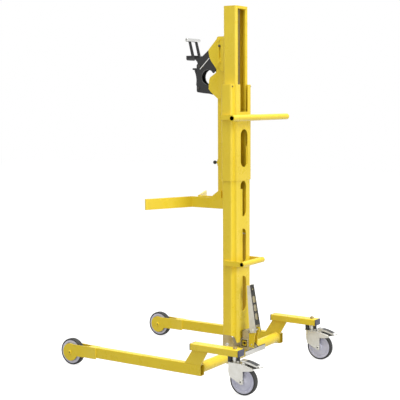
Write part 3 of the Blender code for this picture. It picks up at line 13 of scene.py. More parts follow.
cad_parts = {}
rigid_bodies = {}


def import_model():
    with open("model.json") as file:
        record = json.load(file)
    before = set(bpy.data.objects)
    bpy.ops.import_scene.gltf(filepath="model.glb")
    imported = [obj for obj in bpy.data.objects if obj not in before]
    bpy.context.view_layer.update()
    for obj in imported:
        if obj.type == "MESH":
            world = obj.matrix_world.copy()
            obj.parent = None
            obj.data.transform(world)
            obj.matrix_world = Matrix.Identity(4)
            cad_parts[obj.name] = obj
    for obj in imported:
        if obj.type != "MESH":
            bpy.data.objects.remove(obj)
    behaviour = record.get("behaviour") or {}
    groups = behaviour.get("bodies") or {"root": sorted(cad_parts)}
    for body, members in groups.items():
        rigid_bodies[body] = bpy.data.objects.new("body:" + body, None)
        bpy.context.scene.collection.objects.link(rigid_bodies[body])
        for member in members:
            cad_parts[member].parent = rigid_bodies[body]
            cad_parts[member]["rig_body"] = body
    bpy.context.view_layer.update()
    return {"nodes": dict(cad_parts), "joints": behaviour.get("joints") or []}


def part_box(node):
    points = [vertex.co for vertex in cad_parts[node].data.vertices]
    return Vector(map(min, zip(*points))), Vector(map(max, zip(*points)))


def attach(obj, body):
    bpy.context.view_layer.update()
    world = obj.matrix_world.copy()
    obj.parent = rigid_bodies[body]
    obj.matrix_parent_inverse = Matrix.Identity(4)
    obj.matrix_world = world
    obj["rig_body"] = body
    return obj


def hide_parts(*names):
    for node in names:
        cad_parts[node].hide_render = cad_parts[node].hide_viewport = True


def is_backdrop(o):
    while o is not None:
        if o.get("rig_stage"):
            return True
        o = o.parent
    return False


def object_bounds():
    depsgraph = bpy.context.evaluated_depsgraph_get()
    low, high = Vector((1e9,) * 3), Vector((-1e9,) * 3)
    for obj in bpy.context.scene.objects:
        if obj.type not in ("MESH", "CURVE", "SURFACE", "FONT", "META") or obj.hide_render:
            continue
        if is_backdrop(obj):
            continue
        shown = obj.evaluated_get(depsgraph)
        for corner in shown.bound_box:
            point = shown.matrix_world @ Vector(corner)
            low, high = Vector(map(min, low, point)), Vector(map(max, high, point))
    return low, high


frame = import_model()
nodes = frame["nodes"]

# Camera: chest height of a standing person, behind the left caster, with a long lens.
# Its sensor is square because the picture is.
camera_place = Vector((4.0492, 2.67785, 1.2736))
camera_azimuth = math.radians(123.46)
camera_elevation = math.radians(5.72)
camera_roll = math.radians(-0.27)
back = Vector((math.sin(camera_azimuth) * math.cos(camera_elevation),
               -math.cos(camera_azimuth) * math.cos(camera_elevation),
               math.sin(camera_elevation)))
level = Vector((math.cos(camera_azimuth), math.sin(camera_azimuth), 0.0))
upright = back.cross(level)
right = math.cos(camera_roll) * level + math.sin(camera_roll) * upright
above = back.cross(right)
camera_data = bpy.data.cameras.new("camera")
camera_data.sensor_width = 36.0
camera_data.lens = 92.25
camera_data.clip_start = 0.1
camera_data.clip_end = 60.0
camera = bpy.data.objects.new("camera", camera_data)
bpy.context.scene.collection.objects.link(camera)
camera.matrix_world = Matrix.Translation(camera_place) @ Matrix(
    (right, above, back)).transposed().to_4x4()
bpy.context.scene.camera = camera
bpy.context.scene.view_settings.view_transform = "Standard"


# Studio: a white room that lights the machine evenly from all round. Colours are
# written as sRGB hex and turned to linear light here, once.
def tone(code):
    """Return the linear colour of an sRGB hex code, with alpha 1."""
    parts = [int(code[start:start + 2], 16) / 255 for start in (0, 2, 4)]
    light = [part / 12.92 if part <= 0.04045 else ((part + 0.055) / 1.055) ** 2.4
             for part in parts]
    return (*light, 1.0)


def add(tree, kind, inputs=None, stops=(), **settings):
    """Add a node: its settings, its colour stops, and its inputs, set or linked."""
    made = tree.nodes.new(kind)
    for name, value in settings.items():
        setattr(made, name, value)
    for number, (position, code) in enumerate(stops):
        points = made.color_ramp.elements
        point = points[number] if number < len(points) else points.new(position)
        point.position = position
        point.color = tone(code)
    for name, value in (inputs or {}).items():
        if isinstance(value, bpy.types.NodeSocket):
            tree.links.new(value, made.inputs[name])
        else:
            made.inputs[name].default_value = value
    return made


room = bpy.data.worlds.new("white_room")
bpy.context.scene.world = room
room.use_nodes = True
tree = room.node_tree
tree.nodes.clear()
path = add(tree, "ShaderNodeLightPath")
mirrored_or_seen = add(tree, "ShaderNodeMath", {0: path.outputs["Is Camera Ray"],
                                                1: path.outputs["Is Glossy Ray"]},
                       operation="MAXIMUM")
seen = add(tree, "ShaderNodeMath", {0: mirrored_or_seen.outputs[0],
                                    1: path.outputs["Is Transmission Ray"]},
           operation="MAXIMUM")
# The room's own light is half of the white that the camera sees.
walls = add(tree, "ShaderNodeBackground", {"Color": tone("FFFFFF"), "Strength": 0.5})
white = add(tree, "ShaderNodeBackground", {"Color": tone("FFFFFF"), "Strength": 1.0})
sky = add(tree, "ShaderNodeMixShader", {0: seen.outputs[0], 1: walls.outputs[0],
                                        2: white.outputs[0]})
add(tree, "ShaderNodeOutputWorld", {"Surface": sky.outputs[0]})

# Soft boxes: a large one behind the operator's side, one overhead and two weak ones, on
# the left and on the drum side. Each faces the middle of the mast.
mast_middle = Vector((0.0, 0.0, 0.8))
for name, place, size, power in (("key_light", (0.3, 6.5, 3.0), 3.2, 245.0),
                                 ("top_light", (0.3, 0.6, 5.5), 3.4, 250.0),
                                 ("side_light", (5.0, 0.4, 2.6), 2.6, 48.0),
                                 ("front_light", (-2.5, -6.0, 3.0), 3.2, 100.0)):
    box = bpy.data.lights.new(name, "AREA")
    box.energy = power
    box.size = size
    lamp = bpy.data.objects.new(name, box)
    lamp.location = place
    aim = mast_middle - Vector(place)
    lamp.rotation_euler = aim.to_track_quat("-Z", "Y").to_euler()
    bpy.context.scene.collection.objects.link(lamp)

# Floor: painted white, so it drops out of the picture and keeps only a faint shadow.
# The camera and mirrors see it glow, while the machine gets no more than its bounce.
bpy.ops.object.select_all(action="DESELECT")
bpy.ops.mesh.primitive_plane_add(size=24.0, location=(0.0, 0.0, 0.0))
floor = bpy.context.object
floor.name = "floor"
floor_paint = bpy.data.materials.new("white_floor_paint")
floor_paint.use_nodes = True
tree = floor_paint.node_tree
tree.nodes.clear()
path = add(tree, "ShaderNodeLightPath")
mirrored_or_seen = add(tree, "ShaderNodeMath", {0: path.outputs["Is Camera Ray"],
                                                1: path.outputs["Is Glossy Ray"]},
                       operation="MAXIMUM")
matt = add(tree, "ShaderNodeBsdfDiffuse", {"Color": tone("9A9A9A")})
shade = add(tree, "ShaderNodeBsdfDiffuse", {"Color": tone("A0A0A0")})
glow = add(tree, "ShaderNodeEmission", {"Color": tone("FFFFFF"), "Strength": 0.82})
lit = add(tree, "ShaderNodeAddShader", {0: shade.outputs[0], 1: glow.outputs[0]})
paint = add(tree, "ShaderNodeMixShader", {0: mirrored_or_seen.outputs[0],
                                          1: matt.outputs[0], 2: lit.outputs[0]})
add(tree, "ShaderNodeOutputMaterial", {"Surface": paint.outputs[0]})
floor.data.materials.append(floor_paint)
floor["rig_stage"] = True


# Straddle legs: 50 x 30 mm rectangular tube with the wheel forks and the risers, cut
# from 5 and 8 mm plate, welded on. All is blasted and powder coated as one piece, and
# the thick coat rounds every edge.
def new_finish(name, colour, roughness, metallic=0.0):
    """Start a material: return it, its tree, its shader and the object coordinates."""
    made = bpy.data.materials.new(name)
    made.use_nodes = True
    tree = made.node_tree
    shader = tree.nodes["Principled BSDF"]
    shader.inputs["Base Color"].default_value = tone(colour)
    shader.inputs["Roughness"].default_value = roughness
    shader.inputs["Metallic"].default_value = metallic
    made.diffuse_color = tone(colour)
    place = add(tree, "ShaderNodeTexCoord").outputs["Object"]
    return made, tree, shader, place


def wave(millimetres):
    """Return a texture scale whose features are that many millimetres across."""
    return 1000.0 / millimetres


# Powder coat, safety yellow: sprayed polyester, baked. The eye sees an even warm
# yellow, a satin gloss with an orange peel 3 mm across, and a paler coat on edges,
# where it pulls thin as it melts.
yellow_coat, tree, shader, place = new_finish("yellow_powder_coat", "E8CA2F", 0.3)
shader.inputs["Specular IOR Level"].default_value = 0.25
clouds = add(tree, "ShaderNodeTexNoise", {"Vector": place, "Scale": wave(160.0),
                                          "Detail": 3.0})
body_colour = add(tree, "ShaderNodeValToRGB", {"Fac": clouds.outputs["Fac"]},
                  stops=((0.3, "E5C72C"), (0.7, "EBCF33"))).outputs["Color"]
edges = add(tree, "ShaderNodeNewGeometry")
thin = add(tree, "ShaderNodeMapRange", {"Value": edges.outputs["Pointiness"],
                                        "From Min": 0.54, "From Max": 0.66,
                                        "To Min": 0.0, "To Max": 0.55})
worn = add(tree, "ShaderNodeMix", {"Factor": thin.outputs["Result"], 6: body_colour,
                                   7: tone("F3DE7C")}, data_type="RGBA")
tree.links.new(worn.outputs[2], shader.inputs["Base Color"])
peel = add(tree, "ShaderNodeTexNoise", {"Vector": place, "Scale": wave(3.0),
                                        "Detail": 2.0, "Roughness": 0.4})
dimples = add(tree, "ShaderNodeBump", {"Height": peel.outputs["Fac"], "Strength": 0.14,
                                       "Distance": 0.0004})
tree.links.new(dimples.outputs["Normal"], shader.inputs["Normal"])
handled = add(tree, "ShaderNodeTexNoise", {"Vector": place, "Scale": wave(45.0),
                                           "Detail": 5.0, "Roughness": 0.6})
gloss = add(tree, "ShaderNodeMapRange", {"Value": handled.outputs["Fac"], "From Min": 0.3,
                                         "From Max": 0.75, "To Min": 0.24,
                                         "To Max": 0.38})
tree.links.new(gloss.outputs["Result"], shader.inputs["Roughness"])


def take(piece):
    """Select one piece alone and make it the active one."""
    bpy.ops.object.select_all(action="DESELECT")
    piece.select_set(True)
    bpy.context.view_layer.objects.active = piece


def soften(piece, edge, steps=2, angle=40.0):
    """Round the sharp edges of a piece and shade it so that its flats stay flat."""
    take(piece)
    if edge:
        rounding = piece.modifiers.new("rounding", "BEVEL")
        rounding.width = edge
        rounding.segments = steps
        rounding.limit_method = "ANGLE"
        rounding.angle_limit = math.radians(angle)
        bpy.ops.object.modifier_apply(modifier=rounding.name)
    bpy.ops.object.shade_smooth_by_angle(angle=math.radians(angle))
    normals = piece.modifiers.new("flats", "WEIGHTED_NORMAL")
    normals.keep_sharp = True
    bpy.ops.object.modifier_apply(modifier=normals.name)


def fit(piece, body, slot, material, *stands_for):
    """Finish a piece: its material, its body and the parts it stands for. The slot is not
    used.
    """
    piece.data.materials.clear()
    piece.data.materials.append(material)
    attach(piece, body)
    if stands_for:
        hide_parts(*stands_for)
    return piece


def recoat(piece, material, where):
    """Give the faces whose middle and normal pass a test another material."""
    piece.data.materials.append(material)
    for face in piece.data.polygons:
        if where(face.center, face.normal):
            face.material_index = len(piece.data.materials) - 1


def dress(name, node, slot, material, edge=0.0008, steps=2, angle=40.0, detail=None):
    """Make a finished piece from a part's own form, in the part's place."""
    piece = bpy.data.objects.new(name, nodes[node].data.copy())
    bpy.context.scene.collection.objects.link(piece)
    take(piece)
    bpy.ops.mesh.customdata_custom_splitnormals_clear()
    bpy.ops.object.mode_set(mode="EDIT")
    bpy.ops.mesh.select_all(action="SELECT")
    bpy.ops.mesh.remove_doubles(threshold=0.00001)
    bpy.ops.mesh.dissolve_limited(angle_limit=math.radians(0.6))
    bpy.ops.object.mode_set(mode="OBJECT")
    if detail:
        detail(piece)
    soften(piece, edge, steps, angle)
    return fit(piece, nodes[node]["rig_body"], slot, material, node)


for side in ("left", "right"):
    dress(f"straddle_leg_{side}", f"leg_{side}", "yellow_enamel", yellow_coat)

# Front wheels: a moulded nylon centre with a grooved face, a black rubber tread bonded
# round it, and a zinc plated axle bolt through both fork plates, with its heads painted
# over in one with the forks.
# Polyamide 6, injection moulded in a cool pale grey. The flow leaves the tone slightly
# uneven. The mould's spark grain is drawn 0.9 mm across, four times its real size.
grey_nylon, tree, shader, place = new_finish("grey_polyamide", "C4C3D8", 0.48)
flow = add(tree, "ShaderNodeTexNoise", {"Vector": place, "Scale": wave(38.0),
                                        "Detail": 3.0})
colour = add(tree, "ShaderNodeValToRGB", {"Fac": flow.outputs["Fac"]},
             stops=((0.3, "C4C4D6"), (0.7, "D8D8E6")))
tree.links.new(colour.outputs["Color"], shader.inputs["Base Color"])
grain = add(tree, "ShaderNodeTexNoise", {"Vector": place, "Scale": wave(0.9),
                                         "Detail": 2.0})
relief = add(tree, "ShaderNodeBump", {"Height": grain.outputs["Fac"],
                                      "Strength": 0.2, "Distance": 0.0002})
tree.links.new(relief.outputs["Normal"], shader.inputs["Normal"])
matt = add(tree, "ShaderNodeMapRange", {"Value": flow.outputs["Fac"], "From Min": 0.3,
                                        "From Max": 0.7, "To Min": 0.42, "To Max": 0.56})
tree.links.new(matt.outputs["Result"], shader.inputs["Roughness"])

# Vulcanised rubber, moulded: near black and dull. Dust from the floor greys the tread
# in patches, and the surface has a fine pebble.
black_rubber, tree, shader, place = new_finish("vulcanised_rubber", "2B2B2B", 0.8)
dust = add(tree, "ShaderNodeTexNoise", {"Vector": place, "Scale": wave(11.0),
                                        "Detail": 5.0, "Roughness": 0.65})
colour = add(tree, "ShaderNodeValToRGB", {"Fac": dust.outputs["Fac"]},
             stops=((0.35, "222223"), (0.75, "434341")))
tree.links.new(colour.outputs["Color"], shader.inputs["Base Color"])
pebble = add(tree, "ShaderNodeTexNoise", {"Vector": place, "Scale": wave(1.4),
                                          "Detail": 3.0})
relief = add(tree, "ShaderNodeBump", {"Height": pebble.outputs["Fac"],
                                      "Strength": 0.35, "Distance": 0.0004})
tree.links.new(relief.outputs["Normal"], shader.inputs["Normal"])
dull = add(tree, "ShaderNodeMapRange", {"Value": dust.outputs["Fac"], "From Min": 0.3,
                                        "From Max": 0.75, "To Min": 0.62, "To Max": 0.9})
tree.links.new(dull.outputs["Result"], shader.inputs["Roughness"])

# Zinc plate, clear passivated, on pressed steel: a soft silver with a faint warm cast,
# cloudy where the bath ran. The rolling marks under it are drawn 1.6 mm across, some
# five times as coarse as they are.
zinc_plate, tree, shader, place = new_finish("zinc_plated_steel", "D2CFC4", 0.36, 1.0)
bath = add(tree, "ShaderNodeTexNoise", {"Vector": place, "Scale": wave(24.0),
                                        "Detail": 5.0, "Roughness": 0.6})
colour = add(tree, "ShaderNodeValToRGB", {"Fac": bath.outputs["Fac"]},
             stops=((0.3, "B9B7AF"), (0.7, "CCCBC6")))
tree.links.new(colour.outputs["Color"], shader.inputs["Base Color"])
rolled = add(tree, "ShaderNodeTexNoise", {"Vector": place, "Scale": wave(1.6),
                                          "Detail": 4.0})
relief = add(tree, "ShaderNodeBump", {"Height": rolled.outputs["Fac"],
                                      "Strength": 0.1, "Distance": 0.0003})
tree.links.new(relief.outputs["Normal"], shader.inputs["Normal"])
bloom = add(tree, "ShaderNodeMapRange", {"Value": bath.outputs["Fac"], "From Min": 0.3,
                                         "From Max": 0.7, "To Min": 0.28, "To Max": 0.46})
tree.links.new(bloom.outputs["Result"], shader.inputs["Roughness"])

# Steel, oil blackened: dark brown-grey with a soft shine, blotched where oil dried.
# It also paints the shade on the floors of the axle bolts' key sockets and inside the
# handles' bores.
blackened_steel_and_shade, tree, shader, place = new_finish("oil_blackened_steel_and_painted_shade", "4A4845", 0.35, 1.0)
oil = add(tree, "ShaderNodeTexNoise", {"Vector": place, "Scale": wave(5.0), "Detail": 4.0})
colour = add(tree, "ShaderNodeValToRGB", {"Fac": oil.outputs["Fac"]},
             stops=((0.3, "3C3A38"), (0.7, "5A5753")))
tree.links.new(colour.outputs["Color"], shader.inputs["Base Color"])
sheen = add(tree, "ShaderNodeMapRange", {"Value": oil.outputs["Fac"],
                                         "From Min": 0.3, "From Max": 0.7,
                                         "To Min": 0.28, "To Max": 0.45})
tree.links.new(sheen.outputs["Result"], shader.inputs["Roughness"])

# The turn that points a turned piece's axis, which starts along +Z, each way.
FACINGS = {"X": (0.0, math.radians(90), 0.0), "-X": (0.0, math.radians(-90), 0.0),
           "Y": (math.radians(-90), 0.0, 0.0), "-Y": (math.radians(90), 0.0, 0.0),
           "Z": (0.0, 0.0, 0.0)}


def turn(name, middle, axis, profile, sides=96):
    """Turn a piece: a ring is extruded and scaled through (radius, height) steps."""
    bpy.ops.object.select_all(action="DESELECT")
    radius, height = profile[0]
    bpy.ops.mesh.primitive_circle_add(vertices=sides, radius=radius,
                                      location=(0.0, 0.0, 0.0))
    piece = bpy.context.object
    piece.name = name
    bpy.ops.object.mode_set(mode="EDIT")
    bpy.ops.mesh.select_all(action="SELECT")
    bpy.ops.transform.translate(value=(0.0, 0.0, height))
    for next_radius, next_height in profile[1:]:
        bpy.ops.mesh.extrude_region_move(
            TRANSFORM_OT_translate={"value": (0.0, 0.0, next_height - height)})
        share = next_radius / radius
        bpy.ops.transform.resize(value=(share, share, 1.0),
                                 center_override=(0.0, 0.0, next_height))
        radius, height = next_radius, next_height
    bpy.ops.mesh.select_all(action="SELECT")
    bpy.ops.mesh.remove_doubles(threshold=0.000005)
    if profile[0] != profile[-1]:
        bpy.ops.mesh.fill_holes(sides=0)
    bpy.ops.mesh.normals_make_consistent(inside=False)
    bpy.ops.object.mode_set(mode="OBJECT")
    piece.rotation_euler = FACINGS[axis]
    piece.location = middle
    bpy.ops.object.transform_apply(location=True, rotation=True, scale=True)
    return piece


def middle_of(node):
    """Return the middle of a part's box."""
    low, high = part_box(node)
    return (low + high) / 2


# Key sockets of the axle bolts: the flat left round one, its depth and its taper, and
# how near to the axle's line a face's middle lies when the face is an end of the bolt.
SOCKET_FLAT = 0.0035
SOCKET_DEPTH = 0.0022
SOCKET_TAPER = 0.0004
ON_AXLE = 0.0005


def off_axle(place, axle):
    """Return how far a place lies from the line of an axle."""
    return math.hypot(place.y - axle.y, place.z - axle.z)


def sink_sockets(piece, axle):
    """Sink a key socket in each end of the axle bolt that goes through a piece."""
    take(piece)
    bpy.ops.object.mode_set(mode="EDIT")
    bpy.ops.mesh.select_mode(type="FACE")
    bpy.ops.mesh.select_all(action="DESELECT")
    bpy.ops.object.mode_set(mode="OBJECT")
    for face in piece.data.polygons:
        face.select = (abs(face.normal.x) > 0.99
                       and off_axle(face.center, axle) < ON_AXLE)
    bpy.ops.object.mode_set(mode="EDIT")
    bpy.ops.mesh.inset(thickness=SOCKET_FLAT, depth=0.0)
    bpy.ops.mesh.inset(thickness=SOCKET_TAPER, depth=-SOCKET_DEPTH)
    bpy.ops.mesh.select_mode(type="VERT")
    bpy.ops.object.mode_set(mode="OBJECT")


def bolt_up(name, node, slot, edge, axle):
    """Finish a piece that holds an axle bolt, with black floors in its sockets as painted
    shade.
    """
    piece = dress(name, node, slot, zinc_plate, edge=edge,
                  detail=lambda piece: sink_sockets(piece, axle))
    # The socket floors are painted black: painted shade at the bottom of each socket.
    recoat(piece, blackened_steel_and_shade, lambda middle, facing: abs(facing.x) > 0.99
           and off_axle(middle, axle) < ON_AXLE)
    return piece


def add_wheel(place, side):
    """Turn the nylon centre and the rubber tread of the wheel at a place and side.

    Both half sections are (radius, distance from the wheel's middle plane).
    """
    body = nodes[f"{place}_hub_{side}"]["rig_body"]
    middle = middle_of(f"{place}_hub_{side}")
    face = [(0.0557, 0.0120), (0.0553, 0.0131), (0.0543, 0.0135), (0.0462, 0.0135),
            (0.0450, 0.0129), (0.0443, 0.0104), (0.0436, 0.0096), (0.0424, 0.0096),
            (0.0417, 0.0104), (0.0410, 0.0113), (0.0398, 0.0115), (0.0240, 0.0112),
            (0.0172, 0.0118), (0.0153, 0.0126), (0.0145, 0.0144), (0.0137, 0.0152),
            (0.0071, 0.0152), (0.0063, 0.0145)]
    whole = face + [(radius, -height) for radius, height in reversed(face)]
    centre = turn(f"{place}_wheel_centre_{side}", middle, "X", whole + whole[:1])
    soften(centre, 0, angle=50)
    fit(centre, body, "grey_nylon", grey_nylon, f"{place}_hub_{side}")
    half = [(0.0560, 0.0132), (0.0568, 0.0142), (0.0582, 0.0145), (0.0600, 0.0142),
            (0.0617, 0.0130), (0.0628, 0.0107), (0.0633, 0.0075), (0.0635, 0.0030)]
    whole = half + [(radius, -height) for radius, height in reversed(half)]
    tread = turn(f"{place}_wheel_tread_{side}", middle, "X", whole + whole[:1])
    soften(tread, 0, angle=60)
    fit(tread, body, "black_rubber", black_rubber, f"{place}_tyre_{side}")


AXLE_HEAD = 0.0045
for side in ("left", "right"):
    add_wheel("front", side)
    axle = middle_of(f"front_hub_{side}")
    bolt = bolt_up(f"front_axle_bolt_{side}", f"front_axle_{side}", "zinc_plate", 0.0004,
                   axle)
    under_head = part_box(f"front_axle_{side}")[1].x - axle.x - AXLE_HEAD
    recoat(bolt, yellow_coat, lambda middle, facing:
           abs(middle.x - axle.x) > under_head and off_axle(middle, axle) > ON_AXLE)

# Caster arms: short square-cut tubes on the risers, closed at both ends by moulded
# plugs. The casters' king pins pass up through them under hexagon nuts.
# Polyethylene, moulded: dark blue-grey, waxy and softly scuffed.
dark_plug, tree, shader, place = new_finish("moulded_polyethylene", "3D4050", 0.46)
scuff = add(tree, "ShaderNodeTexNoise", {"Vector": place, "Scale": wave(7.0),
                                         "Detail": 6.0, "Roughness": 0.7})
colour = add(tree, "ShaderNodeValToRGB", {"Fac": scuff.outputs["Fac"]},
             stops=((0.35, "35384A"), (0.75, "50526A")))
tree.links.new(colour.outputs["Color"], shader.inputs["Base Color"])
wax = add(tree, "ShaderNodeMapRange", {"Value": scuff.outputs["Fac"], "From Min": 0.3,
                                       "From Max": 0.75, "To Min": 0.36, "To Max": 0.6})
tree.links.new(wax.outputs["Result"], shader.inputs["Roughness"])
relief = add(tree, "ShaderNodeBump", {"Height": scuff.outputs["Fac"],
                                      "Strength": 0.12, "Distance": 0.0003})
tree.links.new(relief.outputs["Normal"], shader.inputs["Normal"])

# Steel, turned and zinc plated bright: cleaner and glossier than the pressings. The
# tool's traces are drawn 2.2 mm across, about ten times as coarse as they are.
bright_steel, tree, shader, place = new_finish("machined_steel", "D8D8D6", 0.22, 1.0)
rings = add(tree, "ShaderNodeTexNoise", {"Vector": place, "Scale": wave(2.2),
                                         "Detail": 4.0})
colour = add(tree, "ShaderNodeValToRGB", {"Fac": rings.outputs["Fac"]},
             stops=((0.3, "C9C9C6"), (0.7, "E2E2E0")))
tree.links.new(colour.outputs["Color"], shader.inputs["Base Color"])
sheen = add(tree, "ShaderNodeMapRange", {"Value": rings.outputs["Fac"],
                                         "From Min": 0.3, "From Max": 0.7,
                                         "To Min": 0.16, "To Max": 0.3})
tree.links.new(sheen.outputs["Result"], shader.inputs["Roughness"])

# Zinc plate, chromated: straw coloured, clouding to grey where the film is thin.
chromate, tree, shader, place = new_finish("chromated_zinc_plate", "AC9C70", 0.36, 1.0)
clouding = add(tree, "ShaderNodeTexNoise", {"Vector": place, "Scale": wave(30.0),
                                        "Detail": 4.0})
colour = add(tree, "ShaderNodeValToRGB", {"Fac": clouding.outputs["Fac"]},
             stops=((0.3, "A08F63"), (0.7, "B9AE8A")))
tree.links.new(colour.outputs["Color"], shader.inputs["Base Color"])
sheen = add(tree, "ShaderNodeMapRange", {"Value": clouding.outputs["Fac"],
                                         "From Min": 0.3, "From Max": 0.7,
                                         "To Min": 0.26, "To Max": 0.44})
tree.links.new(sheen.outputs["Result"], shader.inputs["Roughness"])

for side in ("left", "right"):
    dress(f"caster_beam_{side}", f"caster_arm_{side}", "yellow_enamel", yellow_coat)
    for end in ("front", "rear"):
        dress(f"beam_plug_{end}_{side}", f"arm_cap_{end}_{side}", "dark_plastic",
              dark_plug, edge=0.0007)
    pin = dress(f"king_pin_{side}", f"caster_stem_{side}", "bright_steel", bright_steel,
                edge=0.0006)
    beam_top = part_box(f"caster_arm_{side}")[1].z
    recoat(pin, chromate, lambda middle, facing: middle.z > beam_top)

# Swivel casters: a fork pressed from 2.5 mm sheet round the wheel, with the bearing
# seals and the lock post on its crown, and a foot brake hinged between two ears.
# Black enamel, stoved over phosphate: deep black, semi-gloss, with fine dust nibs.
# It also paints the shade on the inner faces of the mast's foot brackets.
black_enamel, tree, shader, place = new_finish("black_stove_enamel_and_painted_shade", "1B1B1C", 0.3)
nibs = add(tree, "ShaderNodeTexNoise", {"Vector": place, "Scale": wave(2.4),
                                        "Detail": 4.0})
colour = add(tree, "ShaderNodeValToRGB", {"Fac": nibs.outputs["Fac"]},
             stops=((0.4, "161617"), (0.75, "262627")))
tree.links.new(colour.outputs["Color"], shader.inputs["Base Color"])
relief = add(tree, "ShaderNodeBump", {"Height": nibs.outputs["Fac"],
                                      "Strength": 0.1, "Distance": 0.0003})
tree.links.new(relief.outputs["Normal"], shader.inputs["Normal"])
sheen = add(tree, "ShaderNodeMapRange", {"Value": nibs.outputs["Fac"],
                                         "From Min": 0.3, "From Max": 0.7,
                                         "To Min": 0.24, "To Max": 0.4})
tree.links.new(sheen.outputs["Result"], shader.inputs["Roughness"])

LOCK_HEIGHT = 0.018         # the lock's cylinder and post, on the crown
SEAL_RADIUS = 0.0115        # the bearing seals round the king pin
PAD_FROM, PAD_TO = 0.024, 0.075     # the lever's black pad, from its toe inwards
for side in ("left", "right"):
    yoke = bolt_up(f"caster_yoke_{side}", f"caster_fork_{side}", "zinc_plate", 0.0007,
                   middle_of(f"caster_hub_{side}"))
    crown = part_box(f"caster_fork_{side}")[1].z - LOCK_HEIGHT
    swivel_y = middle_of(f"caster_stem_{side}").y
    recoat(yoke, black_enamel, lambda middle, facing:
           middle.z > crown and abs(middle.y - swivel_y) > SEAL_RADIUS)
    add_wheel("caster", side)
    lever = dress(f"brake_lever_{side}", f"brake_pedal_{side}", "black_enamel",
                  zinc_plate, edge=0.0008)
    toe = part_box(f"brake_pedal_{side}")[1].y
    recoat(lever, black_enamel, lambda middle, facing:
           toe - PAD_TO < middle.y < toe - PAD_FROM and facing.z > 0.55)

# Cross tube: 48 mm round tube welded between the legs. A heavier sleeve on its middle
# carries the foot brackets and the pump.
EDGE_ROUND, BORE_ROUND = 0.0008, 0.0006
for name, node, bore in (("cross_shaft", "cross_tube", 0.02015),
                         ("cross_shaft_sleeve", "tube_sleeve", 0.02445)):
    low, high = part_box(node)
    half = (high.x - low.x) / 2
    outer = (high.z - low.z) / 2
    edge = [(outer - EDGE_ROUND, half), (outer, half - EDGE_ROUND),
            (outer, EDGE_ROUND - half), (outer - EDGE_ROUND, -half),
            (bore + BORE_ROUND, -half), (bore, BORE_ROUND - half),
            (bore, half - BORE_ROUND), (bore + BORE_ROUND, half),
            (outer - EDGE_ROUND, half)]
    tube = turn(name, (low + high) / 2, "X", edge)
    soften(tube, 0, angle=30)
    fit(tube, "base", "yellow_enamel", yellow_coat, node)

# Fillet welds round the tube, at the legs and at the sleeve's ends: short overlapping
# ripples under the paint.
RIPPLE = 0.0004
end_of_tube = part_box("cross_tube")[1].x
end_of_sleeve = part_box("tube_sleeve")[1].x
for number, (reach, turned) in enumerate(((end_of_tube, -1), (-end_of_tube, 1),
                                          (end_of_sleeve, 1), (-end_of_sleeve, -1))):
    bead = turn(f"weld_bead_{number + 1}",
                Vector((reach, middle_of("cross_tube").y, middle_of("cross_tube").z)),
                "X" if turned > 0 else "-X",
                [(0.0238, 0.0), (0.0284, 0.0), (0.0278, 0.0020), (0.0262, 0.0036),
                 (0.0238, 0.0046), (0.0238, 0.0)])
    take(bead)
    bpy.ops.object.mode_set(mode="EDIT")
    bpy.ops.mesh.select_all(action="SELECT")
    bpy.ops.transform.vertex_random(offset=RIPPLE, seed=number + 1)
    bpy.ops.object.mode_set(mode="OBJECT")
    soften(bead, 0, angle=70)
    fit(bead, "base", "yellow_enamel", yellow_coat)


# Foot brackets: 4 mm plate, chromated, bolted through the mast's foot.
def add_bolt(name, place, axis, radius, height, body, material, washer=0.0, sides=6):
    """Add a bolt head on a washer, standing on a face at a place."""
    below = min(0.0012, height / 4)
    profile = [(radius * 0.9, 0.0), (radius, below), (radius, height - 0.0008),
               (radius * 0.84, height)]
    head = turn(name, Vector(place), axis, profile, sides)
    if washer:
        ring = turn(f"{name}_washer", Vector(place), axis,
                    [(washer - 0.0003, 0.0), (washer, 0.0004), (washer, 0.0011),
                     (washer - 0.0004, 0.0015)], 40)
        take(head)
        ring.select_set(True)
        bpy.ops.object.join()
    soften(head, 0.0003, angle=35)
    fit(head, body, "bright_steel", material)


FOOT_BOLT_Y, FOOT_BOLT_Z = 0.20675, 0.130
SIDES = (("left", 1, "X"), ("right", -1, "-X"))
for side, across, outward in SIDES:
    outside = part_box(f"foot_bracket_{side}")[1 if across > 0 else 0].x
    add_bolt(f"mast_foot_bolt_{side}", (outside, FOOT_BOLT_Y, FOOT_BOLT_Z), outward,
             radius=0.0075, height=0.0062, body="base", material=bright_steel,
             washer=0.0092)

for side, across, outward in SIDES:
    foot = dress(f"mast_foot_{side}", f"foot_bracket_{side}", "zinc_plate", chromate,
                 edge=0.0005)
    # Their inner faces are black: painted shade inside the mast's foot.
    recoat(foot, black_enamel, lambda middle, facing: facing.x * across < -0.7)

# Mast: three hat sections folded from 4 and 4.5 mm plate, one inside the other. The
# outer one is welded over the lower one, and the inner one runs in them on nylon
# blocks. Long slots in the rear walls save weight.
# Cast nylon, unpigmented: cream, slightly waxy, with milling marks on it.
cream_nylon, tree, shader, place = new_finish("natural_cast_nylon", "E7DFC6", 0.45)
milled = add(tree, "ShaderNodeTexNoise", {"Vector": place, "Scale": wave(5.0),
                                          "Detail": 4.0})
colour = add(tree, "ShaderNodeValToRGB", {"Fac": milled.outputs["Fac"]},
             stops=((0.3, "DDD4B6"), (0.7, "EEE8D4")))
tree.links.new(colour.outputs["Color"], shader.inputs["Base Color"])
relief = add(tree, "ShaderNodeBump", {"Height": milled.outputs["Fac"],
                                      "Strength": 0.15, "Distance": 0.0003})
tree.links.new(relief.outputs["Normal"], shader.inputs["Normal"])

dress("lower_mast_section", "lower_mast", "yellow_enamel", yellow_coat, edge=0.0006)
dress("outer_mast_section", "mast_sleeve", "yellow_enamel", yellow_coat, edge=0.0006)
dress("lifting_mast_section", "inner_mast", "yellow_enamel", yellow_coat, edge=0.0006)
for side in ("left", "right"):
    for end in ("lower", "upper"):
        dress(f"{end}_runner_{side}", f"{end}_slide_block_{side}", "cream_nylon",
              cream_nylon, edge=0.0006)

